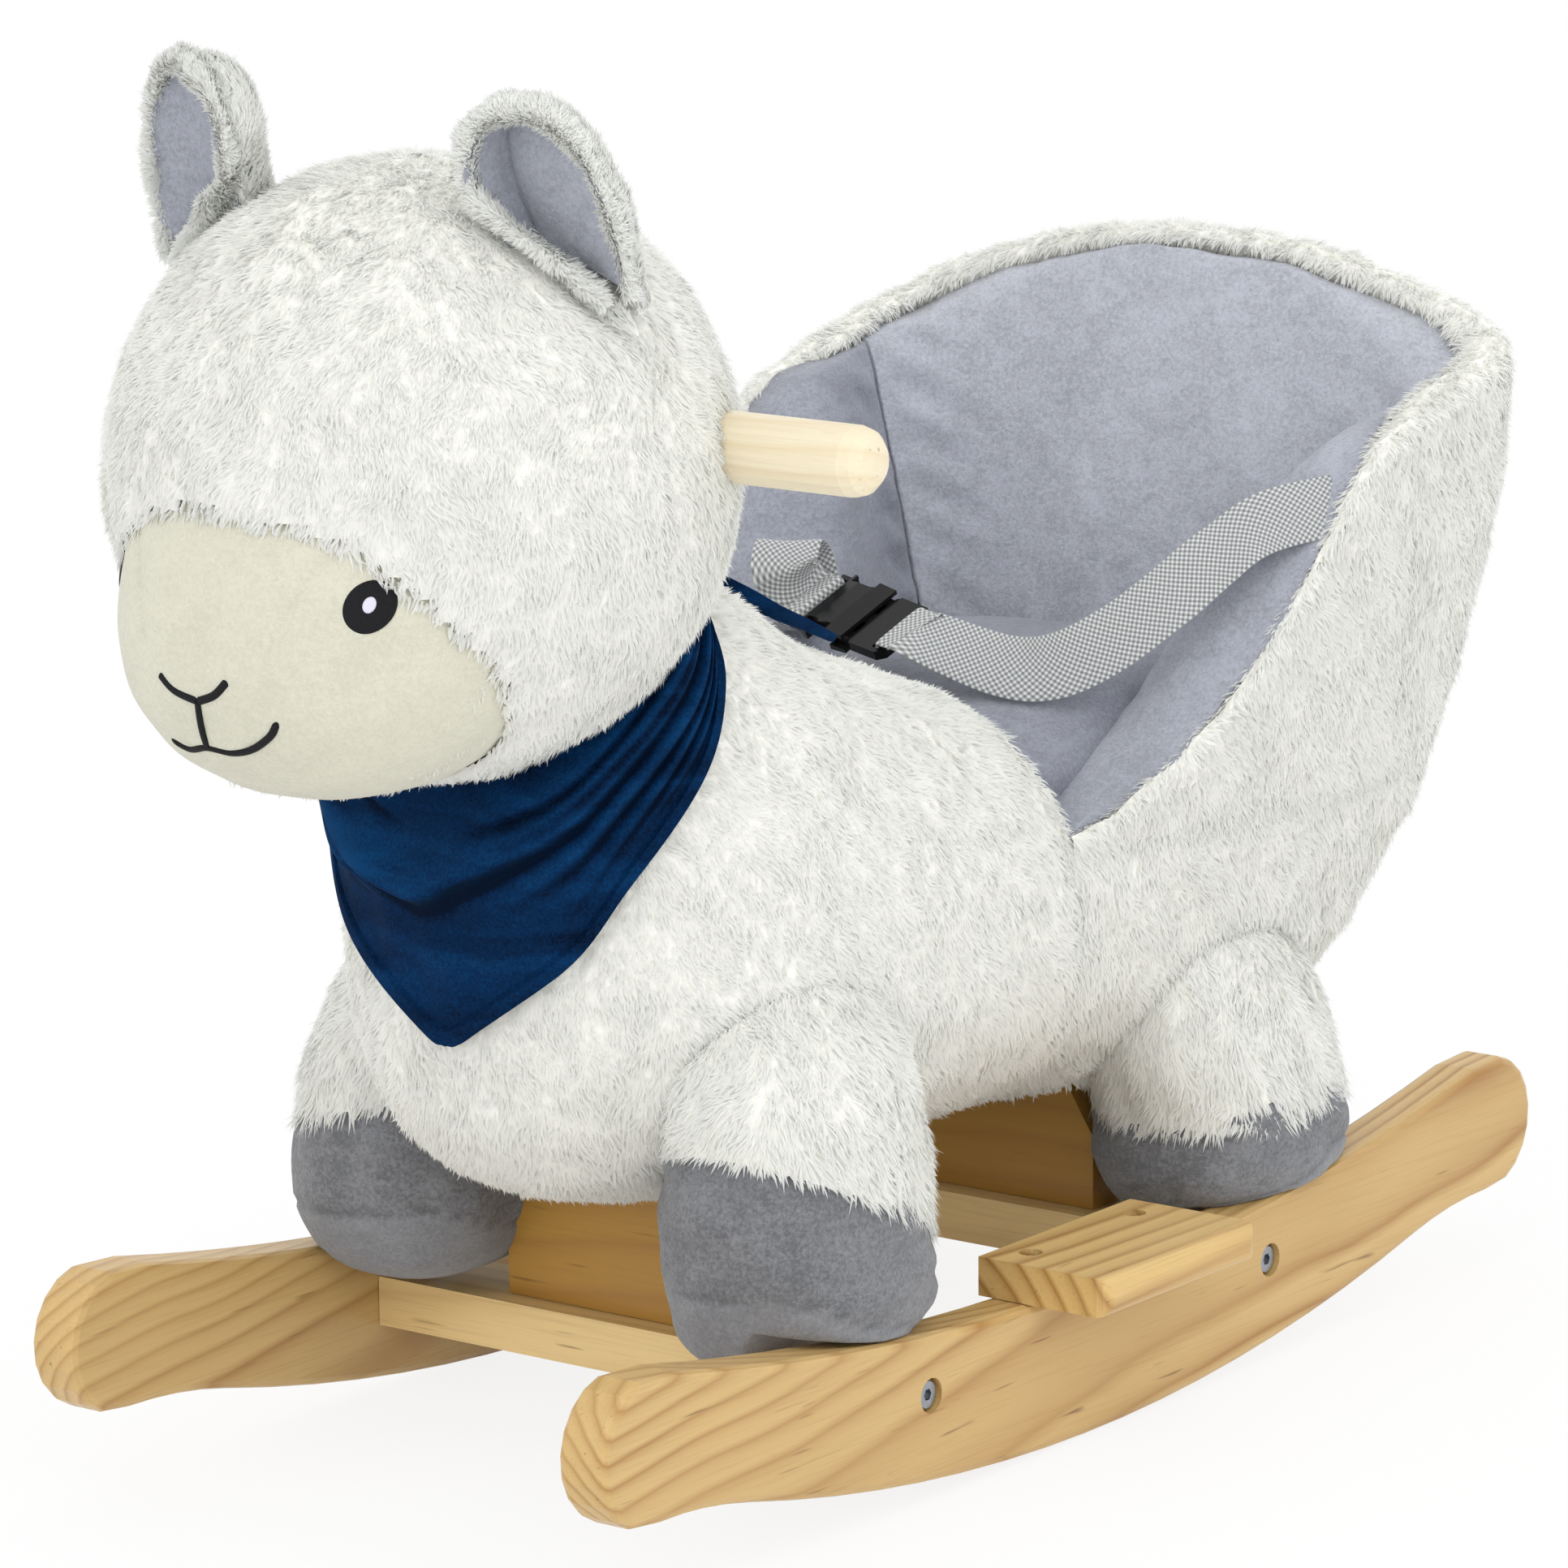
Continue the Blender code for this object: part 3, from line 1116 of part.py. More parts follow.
main()
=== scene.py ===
"""Rocking alpaca with a padded tub seat on pine rockers: surfaces, pile, cloth and finishes.

Shapes are laid out with y = 0 at the middle of the rockers, as the part's own dimensions are, and every mesh
is moved back by SHIFT when it is made. Lengths are metres, +Z is up, the animal looks along -Y.
"""
import math

import bpy
import numpy as np
from mathutils import Matrix, Vector


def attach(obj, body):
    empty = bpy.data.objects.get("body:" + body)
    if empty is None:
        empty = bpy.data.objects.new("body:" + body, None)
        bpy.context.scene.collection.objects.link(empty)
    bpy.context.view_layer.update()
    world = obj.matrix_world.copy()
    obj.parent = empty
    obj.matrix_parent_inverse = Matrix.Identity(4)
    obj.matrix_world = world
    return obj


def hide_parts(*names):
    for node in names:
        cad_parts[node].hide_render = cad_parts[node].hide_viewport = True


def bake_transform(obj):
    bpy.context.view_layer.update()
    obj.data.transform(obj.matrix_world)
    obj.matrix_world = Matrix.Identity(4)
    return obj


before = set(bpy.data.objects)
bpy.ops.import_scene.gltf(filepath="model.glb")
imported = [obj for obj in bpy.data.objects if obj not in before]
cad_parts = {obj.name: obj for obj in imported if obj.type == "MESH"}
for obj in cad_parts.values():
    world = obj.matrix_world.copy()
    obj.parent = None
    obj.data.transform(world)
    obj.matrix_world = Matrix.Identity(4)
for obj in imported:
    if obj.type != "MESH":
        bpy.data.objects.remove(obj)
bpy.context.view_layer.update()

SHIFT = 0.02555

# How deep the pile's roots lie, its length, and how far its skin and the muzzle's are set in
ROOT_DEPTH, PILE_LENGTH, FUR_INSET, FACE_INSET = 0.0012, 0.0052, 0.0016, 0.0012
STRAND_BEND, STRAND_WIDTH, LOCK_SIZE, LOCK_PULL = 0.55, 0.0008, 0.0044, 0.34
STRANDS = {"head": 112000, "cheek": 40000, "body": 108000, "body_end": 15000, "tub": 99000, "rump": 56000,
           "leg": 20000, "ear": 16000, "ear_rim": 15000}

# Plush body, a barrel along Y with a rounded chest
CHEST_FRONT, CHEST_START, CHEST_POWER, CHEST_HEIGHT = -0.217, -0.080, 2.5, 0.196
BODY_END, BODY_HALF, BODY_BOTTOM, BODY_POWER = 0.025, 0.105, 0.098, 2.4
BODY_TOP_AT_ZERO, BODY_TOP_SLOPE, BACK_HOLLOW, BODY_WAIST = 0.285, -0.45, 0.0130, 0.035

# Head, face and ears
HEAD_CENTRE, HEAD_HALF = np.array([0.0, -0.228, 0.379]), np.array([0.112, 0.112, 0.110])
FACE_CENTRE, FACE_HALF = np.array([0.0, -0.275, 0.333]), np.array([0.077, 0.076, 0.062])
FACE_RISE, FACE_POWER, FACE_TAPER, FACE_DROOP = 1.40, 2.2, 0.13, 0.006
EYES, EYE_HEIGHT, EYE_LIGHT_HEIGHT = {"left": 0.0553, "right": -0.0670}, 0.3505, 0.3512
EYE_HALF, EYE_LIGHT_HALF = (0.0064, 0.0089), (0.0016, 0.0027)
DART_LINE = [(0.0416, 0.3659), (0.0374, 0.3582), (0.0322, 0.3475), (0.0259, 0.3338)]
EAR_BASE, EAR_HEIGHT, EAR_HALF_WIDTH, EAR_DEPTH = (0.0785, -0.2455, 0.4600), 0.055, 0.0270, 0.020

# Tub seat
TUB_CENTRE_Y, TUB_HALF, TUB_REAR, TUB_POWER, TUB_FULL_HEIGHT = 0.168, 0.152, 0.268, 8.0, 0.352
TUB_WAIST, TUB_WAIST_POWER, TUB_V_HALF, TUB_BOW, CORNER_ARC = 0.062, 1.6, 0.100, 1.9, 0.56
INNER_LEVEL, INNER_HALF, INNER_REAR, INNER_LEAN, INNER_V_HALF = 0.255, 0.096, 0.206, 0.26, 0.072
RUMP_BOTTOM, RUMP_TOP, RUMP_POWER, TUB_FLOOR = 0.102, 0.2055, 3.4, 0.2061
RIM_LINE = [(0.010, 0.211), (0.038, 0.219), (0.062, 0.233), (0.092, 0.259), (0.120, 0.300), (0.148, 0.340),
            (0.190, 0.357), (0.270, 0.373)]
RIM_CROWN, RIM_ROLL, RIM_ROLL_WING, ROLL_RISE, ROLL_DROP = 0.036, 0.0115, 0.0047, 0.0065, 0.004
PAD_OUTER, PAD_OUTER_WING, PAD_BOW = 0.0208, 0.0056, 1.3
CUSHION_FRONT, CUSHION_REAR, CUSHION_EDGE, CUSHION_TOP = 0.0265, 0.190, 0.226, 0.263

# Limbs: x, y and lift of each hoof; the right front one is stuffed askew
LEG_SPOTS = {(-1, 1): (0.089, -0.134, 0.0), (-1, -1): (0.089, -0.124, 0.007),
             (1, 1): (0.091, 0.134, 0.0), (1, -1): (0.091, 0.134, 0.0)}
LEG_HALF, HOOF_TOP, HOOF_BOTTOM = (0.041, 0.052), 0.1145, 0.0494
LEG_TOP = {-1: 0.205, 1: 0.185}
SOLE_LEVEL, ROCKER_LOW, ROCKER_ARC, ROCKER_INNER = 0.31, 0.057, 1.280, 0.090

# How much each fringe starts above the hoof's top, and how it tilts to the rear and outwards
HOOF_LINE = {(-1, 1): (-0.0020, -0.44, 0.04), (-1, -1): (-0.0010, -0.08, -0.20),
             (1, 1): (-0.0200, 0.05, 0.0), (1, -1): (-0.0200, 0.05, 0.0)}

# Camera: angles of the view in degrees, its place and its lens on a 36 mm frame
VIEW_AZIMUTH, VIEW_ELEVATION, VIEW_ROLL = 36.8, 11.98, -0.41
CAMERA_PLACE, CAMERA_LENS, CAMERA_FRAME = (1.65354, -2.20638, 0.81675), 174.85, 36.0
LIT_POINT = (0.0, 0.0, 0.25)

# Scarf and belt: the scarf's edges are heights at angles from straight ahead
SCARF_AXIS_Y, SCARF_OFFSET = -0.150, 0.0035
SCARF_LOWER = [(0, 0.172), (8, 0.1755), (38, 0.204), (54, 0.234), (73, 0.270), (84, 0.298), (93, 0.320),
               (110, 0.328), (140, 0.330), (180, 0.330)]
SCARF_UPPER = [(0, 0.270), (23, 0.273), (45, 0.288), (77, 0.323), (100, 0.336), (140, 0.338), (180, 0.338)]
WEB_WIDTH, WEB_THICKNESS = 0.025, 0.0016
BUCKLE_CENTRE, BUCKLE_AXIS = (-0.021, 0.056, 0.279), (0.97, -0.17, -0.14)
BUCKLE_FACING = (0.10, -0.48, 0.87)
PLUG_END, SOCKET_BACK, BAR_HALF_HEIGHT = 0.025, -0.025, 0.002


def ease(value):
    """0 below 0, 1 above 1, and a smooth S between."""
    t = np.clip(value, 0.0, 1.0)
    return t * t * (3.0 - 2.0 * t)


def unit(v):
    return v / np.maximum(np.linalg.norm(v, axis=-1, keepdims=True), 1e-12)


def points_at(x, y, z):
    """Points from their coordinates, spread over one grid."""
    return np.stack(np.broadcast_arrays(x, y, z), axis=-1)


def circle(count):
    """Angles evenly once round."""
    return np.linspace(0.0, 2 * np.pi, count, endpoint=False)


def run_along(path):
    """The length of a path up to each of its points."""
    return np.concatenate([[0.0], np.cumsum(np.linalg.norm(np.diff(path, axis=0), axis=1))])


def read_at(places, marks, rows):
    """Rows of three numbers read off between marks."""
    return np.stack([np.interp(places, marks, rows[:, i]) for i in range(3)], axis=1)


def outward(level, p):
    """The unit normal at p of a surface given by a level, from small steps along each axis."""
    step = 1e-4
    return unit(np.stack([level(p + d) - level(p - d) for d in np.eye(3) * step], axis=-1))


def through(points, count):
    """A smooth curve through a few points, a Catmull-Rom spline sampled evenly in its parameter."""
    p = np.asarray(points, float)
    p = np.vstack([2 * p[0] - p[1], p, 2 * p[-1] - p[-2]])
    t = np.linspace(0.0, len(p) - 3 - 1e-9, count)
    i = t.astype(int)
    f = (t - i)[:, None]
    a, b, c, d = p[i], p[i + 1], p[i + 2], p[i + 3]
    return 0.5 * (2 * b + (c - a) * f + (2 * a - 5 * b + 4 * c - d) * f**2 + (3 * b - a - 3 * c + d) * f**3)


def waves(p, scale, seed):
    """Smooth noise from -1 to 1: a sum of six sine waves along fixed pseudo-random directions."""
    rng = np.random.default_rng(seed)
    total = np.zeros(p.shape[:-1])
    for _ in range(6):
        way = rng.normal(size=3)
        total = total + np.sin(p @ (way / np.linalg.norm(way)) * (2 * np.pi / scale) * rng.uniform(0.6, 1.6)
                               + rng.uniform(0, 6.28))
    return total / 3.2


def mesh_from(name, points, quads=(), tris=()):
    """A mesh from arrays of points and faces, moved into the part's frame."""
    points = np.array(points, float).reshape(-1, 3)
    points[:, 1] += SHIFT
    quads, tris = np.asarray(quads, int).reshape(-1, 4), np.asarray(tris, int).reshape(-1, 3)
    mesh = bpy.data.meshes.new(name)
    mesh.vertices.add(len(points))
    mesh.vertices.foreach_set("co", points.ravel())
    loops = np.concatenate([quads.ravel(), tris.ravel()])
    mesh.loops.add(len(loops))
    mesh.loops.foreach_set("vertex_index", loops)
    starts = np.concatenate([np.arange(len(quads)) * 4, len(quads) * 4 + np.arange(len(tris)) * 3])
    mesh.polygons.add(len(starts))
    mesh.polygons.foreach_set("loop_start", starts)
    mesh.polygons.foreach_set("use_smooth", np.full(len(starts), True))
    mesh.update(calc_edges=True)
    return mesh


def grid_faces(rows, columns, wrap_rows=False, wrap_columns=False):
    """Quads over a grid of points, joined round its ends where it wraps."""
    i = np.arange(rows if wrap_rows else rows - 1)
    j = np.arange(columns if wrap_columns else columns - 1)
    i, j = np.meshgrid(i, j, indexing="ij")
    n, k = (i + 1) % rows, (j + 1) % columns
    i, n = i * columns, n * columns
    return np.stack([i + j, i + k, n + k, n + j], axis=-1).reshape(-1, 4)


def piece_from(name, mesh, material, body="toy"):
    """A piece that rides on a body, or on none."""
    piece = bpy.data.objects.new(name, mesh)
    bpy.context.scene.collection.objects.link(piece)
    mesh.materials.append(material)
    if body:
        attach(piece, body)
    return piece


def closed(name, rings, material, tips=None, flip=False, body="toy"):
    """A closed skin over rows of closed rings; each end is fanned to its own middle or to a given tip."""
    rings = np.asarray(rings, float)
    rows, around = rings.shape[:2]
    points = np.vstack([rings.reshape(-1, 3), tips or [rings[0].mean(0), rings[-1].mean(0)]])
    j = np.arange(around)
    k = (j + 1) % around
    last = (rows - 1) * around
    fan = np.vstack([np.stack([k, j, np.full(around, rows * around)], 1),
                     np.stack([last + j, last + k, np.full(around, rows * around + 1)], 1)])
    quads = grid_faces(rows, around, wrap_columns=True)
    if flip:
        quads, fan = quads[:, ::-1], fan[:, ::-1]
    return piece_from(name, mesh_from(name, points, quads, fan), material, body)


def lay_mark(mesh, name, values):
    """Keeps one number at each point, for a finish to read."""
    mesh.attributes.new(name, "FLOAT", "POINT").data.foreach_set("value", values)


# Finishes


class Value:
    """One socket of a finish, so that shader maths reads as ordinary sums."""

    def __init__(self, finish, socket):
        self.finish, self.socket = finish, socket

    def _math(self, operation, *inputs):
        return self.finish.node("ShaderNodeMath", {"operation": operation}, *inputs)

    def __add__(self, other):
        return self._math("ADD", self, other)

    def __radd__(self, other):
        return self._math("ADD", other, self)

    def __sub__(self, other):
        return self._math("SUBTRACT", self, other)

    def __rsub__(self, other):
        return self._math("SUBTRACT", other, self)

    def __mul__(self, other):
        return self._math("MULTIPLY", self, other)

    def __rmul__(self, other):
        return self._math("MULTIPLY", other, self)

    def __pow__(self, other):
        return self._math("POWER", self, other)

    def sine(self):
        return self._math("SINE", self)

    def size(self):
        return self._math("ABSOLUTE", self)

    def limit(self):
        return self.finish.node("ShaderNodeClamp", {}, self)


class Finish:
    """One material: a Principled shader, and nodes added by one method."""

    def __init__(self, name, roughness=0.8, **constants):
        self.material = bpy.data.materials.new(name)
        self.material.use_nodes = True
        self.tree = self.material.node_tree
        self.shader = self.tree.nodes["Principled BSDF"]
        self.shader.inputs["Roughness"].default_value = roughness
        for socket, value in constants.items():
            self.shader.inputs[socket.replace("_", " ")].default_value = value

    def node(self, kind, settings, *inputs, out=0, **named):
        """Adds a node: its settings first, a ramp's stops among them, then its sockets' values or links."""
        node = self.tree.nodes.new(kind)
        for key, value in settings.items():
            if key == "stops":
                ramp = node.color_ramp.elements
                while len(ramp) < len(value):
                    ramp.new(0.5)
                for element, (place, colour) in zip(ramp, value):
                    element.position = place
                    element.color = (*colour, 1.0)
            else:
                setattr(node, key, value)
        pairs = list(zip(node.inputs, inputs))
        pairs += [(node.inputs[key.replace("_", " ")], value) for key, value in named.items()]
        for socket, value in pairs:
            if isinstance(value, Value):
                self.tree.links.new(value.socket, socket)
            elif value is not None:
                socket.default_value = value
        return Value(self, node.outputs[out])

    def place(self, scale=(1, 1, 1), turn=(0, 0, 0)):
        """Object coordinates, turned and scaled."""
        where = self.node("ShaderNodeTexCoord", {}, out=3)
        return self.node("ShaderNodeMapping", {}, where, Rotation=turn, Scale=scale)

    def parts(self, value, kind="ShaderNodeSeparateXYZ"):
        """The three numbers of a vector or a colour."""
        node = self.tree.nodes.new(kind)
        self.tree.links.new(value.socket, node.inputs[0])
        return [Value(self, node.outputs[i]) for i in range(3)]

    def mark(self, name):
        """A number kept at the mesh's points."""
        return self.node("ShaderNodeAttribute", {"attribute_name": name}, out=2)

    def ramp(self, share, *stops):
        return self.node("ShaderNodeValToRGB", {"stops": stops}, share)

    def noise(self, where, scale, detail=3.0, rough=0.55, warp=0.0):
        return self.node("ShaderNodeTexNoise", {}, Vector=where, Scale=scale, Detail=detail,
                         Roughness=rough, Distortion=warp)

    def blend(self, share, first, second):
        """A mix of two colours."""
        node = self.tree.nodes.new("ShaderNodeMix")
        node.data_type = "RGBA"
        for place, value in ((0, share), (6, first), (7, second)):
            socket = node.inputs[place]
            if isinstance(value, Value):
                self.tree.links.new(value.socket, socket)
            else:
                socket.default_value = value if socket.type == "VALUE" else (*value, 1.0)
        return Value(self, node.outputs[2])

    def glow_through(self, share, colour):
        """Lets light through from behind, as thin fibres do."""
        behind = self.tree.nodes.new("ShaderNodeBsdfTranslucent")
        behind.inputs["Color"].default_value = (*colour, 1.0)
        self.mix_shader(share, behind)

    def mix_shader(self, share, other):
        """Mixes a share of another shader's node into the finish."""
        both = self.tree.nodes.new("ShaderNodeMixShader")
        self.tree.links.new(share.socket, both.inputs[0])
        self.tree.links.new(self.shader.outputs[0], both.inputs[1])
        self.tree.links.new(other.outputs[0], both.inputs[2])
        self.tree.links.new(both.outputs[0], self.tree.nodes["Material Output"].inputs[0])

    def colour(self, value):
        if isinstance(value, Value):
            self.tree.links.new(value.socket, self.shader.inputs["Base Color"])
        else:
            self.shader.inputs["Base Color"].default_value = (*value, 1.0)
        return self

    def roughness(self, value):
        self.tree.links.new(value.socket, self.shader.inputs["Roughness"])
        return self

    def bump(self, height, strength, distance):
        """Relief: distance is the real height of a full step, in metres."""
        relief = self.node("ShaderNodeBump", {}, Strength=strength, Distance=distance, Height=height)
        self.tree.links.new(relief.socket, self.shader.inputs["Normal"])
        return self


def pile_finish(name, tip, root, warm):
    """Long pile: warmer and a little darker at its roots than at its tips, as painted shade among the
    strands, and each lock a little warmer or cooler.
    """
    finish = Finish(name, 0.85, Sheen_Weight=0.25, Sheen_Roughness=0.6, Specular_IOR_Level=0.15)
    marks = finish.node("ShaderNodeAttribute", {"attribute_name": "pile"})
    along, tone, loose = finish.parts(marks, "ShaderNodeSeparateColor")
    middle = [(a + 2 * b) / 3 for a, b in zip(root, tip)]
    # The root colour stands in for the warm shade deep in the pile: painted shade
    depth = finish.ramp(along, (0.0, root), (0.38, middle), (0.72, tip))
    finish.colour(finish.blend(tone * 0.35, depth, warm))
    finish.glow_through(loose * 0.46, tip)
    return finish.material


def velour_finish(name, colour, spread=0.17, sole=None):
    """Short velour: soft patches where the nap is brushed one way or the other, over short strokes and fuzz.
    spread is how far the brushed patches go below and above the colour."""
    finish = Finish(name, 0.9, Sheen_Weight=0.30, Sheen_Roughness=0.45, Specular_IOR_Level=0.2)
    where = finish.place()
    deep, bright = [a * (1.0 - 1.1 * spread) for a in colour], [a * (1.0 + spread) for a in colour]
    patches = finish.noise(where, 18.0, 4.0, 0.65, 0.8)
    strokes = finish.noise(finish.place((1.0, 0.35, 1.6), (0.3, 0.5, 0.2)), 130.0, 3.0, 0.65, 0.8)
    fuzz = finish.noise(where, 620.0, 4.0, 0.8)
    share = ((patches - 0.5) * 1.7 + (strokes - 0.5) * 1.3 + (fuzz - 0.5) * 3.6 + 0.5).limit()
    shade = finish.ramp(share, (0.0, deep), (0.5, colour), (1.0, bright))
    if sole:
        under = finish.mark("sole")
        shade = finish.blend((under * 0.30).limit(), shade, sole)
        # Along the sole's seam the velour is darkened as painted shade in its groove
        shade = finish.blend((under * -0.7).limit(), shade, [0.7 * a for a in deep])
    finish.colour(shade)
    finish.bump(fuzz * 0.65 + strokes * 0.35, 0.9, 0.0011)
    return finish.material


def pine_finish(name, light, dark, heart, ring, tilt, turn=0.0, strength=1.0):
    """Pine with its grain along Y, or along X after a quarter turn. Growth rings lie about a heart line
    beside the board, slightly tilted and wavering; each ring darkens slowly and ends in a late-wood line.
    Short dark resin ducts run along the grain."""
    finish = Finish(name, 0.42, Specular_IOR_Level=0.4, Coat_Weight=0.2, Coat_Roughness=0.3)
    x, y, z = finish.parts(finish.place(turn=(0, 0, turn)))

    def stretched(a, b, c):
        return finish.node("ShaderNodeCombineXYZ", {}, x * a, y * b, z * c)

    waver = finish.noise(stretched(3.0, 2.6, 3.0), 1.6, 2.0, 0.45) - 0.5
    ripple = finish.noise(stretched(22.0, 5.0, 22.0), 1.4, 2.0, 0.5) - 0.5
    across = x.size() - heart[0]
    up = z - heart[1] - y * tilt + waver * 0.036
    rings = ((across * across + up * up) ** 0.5 + ripple * 0.0026) * (1.0 / ring)
    phase = finish.node("ShaderNodeMath", {"operation": "FRACT"}, rings)
    vary = finish.noise(stretched(9.0, 3.0, 9.0), 1.6, 1.0, 0.5)
    ends, warm, late = ([a + (b - a) * share * strength for a, b in zip(light, dark)]
                        for share in (0.45, 0.14, 0.85))
    wood = finish.ramp(phase, (0.0, ends), (0.16, light), (0.55, warm), (0.78, ends), (0.92, late),
                       (1.0, ends))
    wood = finish.blend(((vary - 0.32) * 1.6).limit(), wood, warm)
    fibres = finish.noise(stretched(900.0, 22.0, 900.0), 1.0, 2.0, 0.6)
    tone = finish.noise(stretched(14.0, 3.0, 14.0), 1.5, 3.0, 0.5)
    ducts = finish.noise(stretched(420.0, 30.0, 420.0), 1.0, 1.0, 0.5)
    wood = finish.blend(((tone - 0.35) * 0.8).limit(), wood, [0.88 * a for a in light])
    wood = finish.blend(((ducts - 0.70) * 6.0).limit(), wood, [0.5 * a for a in dark])
    finish.colour(finish.blend(((fibres - 0.5) * 0.7).limit(), wood, [a * 0.8 for a in dark]))
    finish.roughness(0.34 + 0.18 * fibres)
    finish.bump(fibres * 0.6 + phase * 0.4, 0.2, 0.00015)
    return finish.material


def plywood_finish():
    """Stacked plies along Z, with a fine grain along Y."""
    finish = Finish("plywood", 0.7)
    plies = ((finish.parts(finish.place())[2] * 4200.0).sine() * 0.5 + 0.5).limit()
    grain = finish.noise(finish.place((60, 6, 60)), 3.0, 3.0, 0.6)
    finish.colour(finish.blend((plies * 0.4 + grain * 0.4).limit(), (0.68, 0.52, 0.33), (0.45, 0.31, 0.18)))
    finish.bump(grain, 0.3, 0.0003)
    return finish.material


def zinc_finish():
    """Zinc plate, clouded in small spots."""
    finish = Finish("zinc", 0.35, Metallic=1.0)
    spots = finish.noise(finish.place(), 500.0, 3.0, 0.6)
    finish.colour(finish.blend(spots, (0.26, 0.28, 0.30), (0.46, 0.48, 0.51)))
    finish.roughness(0.25 + 0.25 * spots)
    return finish.material


def nylon_finish():
    """Glossy black moulding with a faint moulded grain and rubbed spots."""
    finish = Finish("black_nylon", 0.22, Specular_IOR_Level=0.22)
    grain = finish.noise(finish.place(), 900.0, 2.0, 0.6)
    rub = finish.noise(finish.place(), 60.0, 3.0, 0.6)
    finish.colour(finish.blend(rub, (0.004, 0.004, 0.0045), (0.011, 0.011, 0.012)))
    finish.roughness(0.13 + 0.13 * rub)
    finish.bump(grain, 0.15, 0.0001)
    return finish.material


def thread_finish(name, colour, shine):
    """Satin stitch: fine parallel threads laid aslant."""
    finish = Finish(name, 0.6, Specular_IOR_Level=0.15)
    lie = finish.node("ShaderNodeTexWave", {"wave_type": "BANDS", "bands_direction": "DIAGONAL"},
                      Vector=finish.place(), Scale=520.0, Distortion=1.5, Detail=1.0)
    finish.colour(finish.blend((lie * 0.6).limit(), colour, shine))
    finish.bump(lie, 0.7, 0.0003)
    return finish.material


def webbing_finish():
    """Woven webbing: u counts the yarns across, v the picks along, crossing over and under."""
    finish = Finish("webbing", 0.6, Sheen_Weight=0.2, Specular_IOR_Level=0.45)
    uv = finish.node("ShaderNodeUVMap", {"uv_map": "UVMap"})
    across, along, _ = finish.parts(uv)
    warp, weft = (across * (math.pi * 20)).sine(), (along * math.pi).sine()
    checker = (warp * weft) * 0.5 + 0.5
    yarn = finish.noise(finish.place(), 1500.0, 2.0, 0.7)
    # The weave pattern is real, but its crossings are coloured far lighter as painted highlight and the gaps
    # between yarns far darker as painted shade
    finish.colour(finish.ramp(checker * 0.8 + yarn * 0.2, (0.0, (0.10, 0.10, 0.104)),
                              (0.45, (0.36, 0.37, 0.375)), (1.0, (0.86, 0.88, 0.89))))
    finish.bump(checker * 0.85 + yarn * 0.15, 0.9, 0.0006)
    return finish.material


def velvet_finish():
    """Navy velvet: streaks and fuzz, with a painted highlight along the crests of folds and painted shade
    below them, read from a mark on the points."""
    finish = Finish("navy_velvet", 0.75, Sheen_Weight=0.16, Sheen_Roughness=0.3, Specular_IOR_Level=0.05)
    finish.shader.inputs["Sheen Tint"].default_value = (0.03, 0.25, 0.6, 1.0)
    streaks = finish.noise(finish.place((1.0, 1.0, 4.0), (0.5, 0.3, 0.0)), 18.0, 2.0, 0.5, 0.8)
    fuzz = finish.noise(finish.place(), 800.0, 4.0, 0.75)
    # The mark lightens the crests of folds as painted highlight and darkens the bands below them as painted
    # shade
    share = ((streaks - 0.5) * 1.2 + (fuzz - 0.5) * 1.4 + finish.mark("lay") * 0.9 + 0.42).limit()
    finish.colour(finish.ramp(share, (0.0, (0.0006, 0.006, 0.022)), (0.5, (0.0013, 0.022, 0.078)),
                              (1.0, (0.003, 0.048, 0.150))))
    finish.bump(fuzz * 0.6 + streaks * 0.4, 0.6, 0.0005)
    return finish.material


# The root colour, warmer and darker than the tip, is painted shade among the strands
white_pile = pile_finish("white_pile", (0.965, 0.975, 0.955), (0.96, 0.95, 0.90), (0.96, 0.955, 0.905))
cream_velour = velour_finish("cream_velour", (0.675, 0.66, 0.54), 0.06)
grey_velour = velour_finish("grey_velour", (0.385, 0.402, 0.465))
# The far wing pad's velour is the grey velour made darker, as painted shade on the far side
far_velour_painted_shade = velour_finish("far_velour_painted_shade", (0.325, 0.342, 0.40))
# The back pad's velour is the grey velour made lighter, as painted light against the shade inside the tub
back_velour_painted_light = velour_finish("back_velour_painted_light", (0.47, 0.488, 0.55))
# The cushion's velour is the grey velour made darker, as painted shade under the body
seat_velour_painted_shade = velour_finish("seat_velour_painted_shade", (0.275, 0.288, 0.34))
# The hoof velour is the grey velour made darker, as painted shade on the hooves' upright sides
hoof_velour_painted_shade = velour_finish("hoof_velour_painted_shade", (0.198, 0.204, 0.22), 0.28, sole=(0.36, 0.37, 0.40))
navy_velvet = velvet_finish()
webbing = webbing_finish()
black_thread = thread_finish("black_thread", (0.006, 0.006, 0.007), (0.03, 0.03, 0.035))
lilac_thread = thread_finish("lilac_thread", (0.72, 0.70, 0.86), (0.92, 0.90, 0.98))
nylon, zinc, plywood = nylon_finish(), zinc_finish(), plywood_finish()
PINE_LIGHT, STEP_LIGHT, PINE_DARK = (0.66, 0.455, 0.185), (0.74, 0.51, 0.20), (0.37, 0.17, 0.035)
# The crossbars' pine is made lighter as painted light against the shade under the body, and the uprights'
# darker and more amber as painted shade
BAR_PAINTED_LIGHT, POST_PAINTED_SHADE = (0.92, 0.68, 0.32), (0.50, 0.27, 0.045)
HANDLE_LIGHT, HANDLE_DARK = (0.86, 0.77, 0.57), (0.76, 0.62, 0.40)


# Surfaces shared by pile, pads and cloth


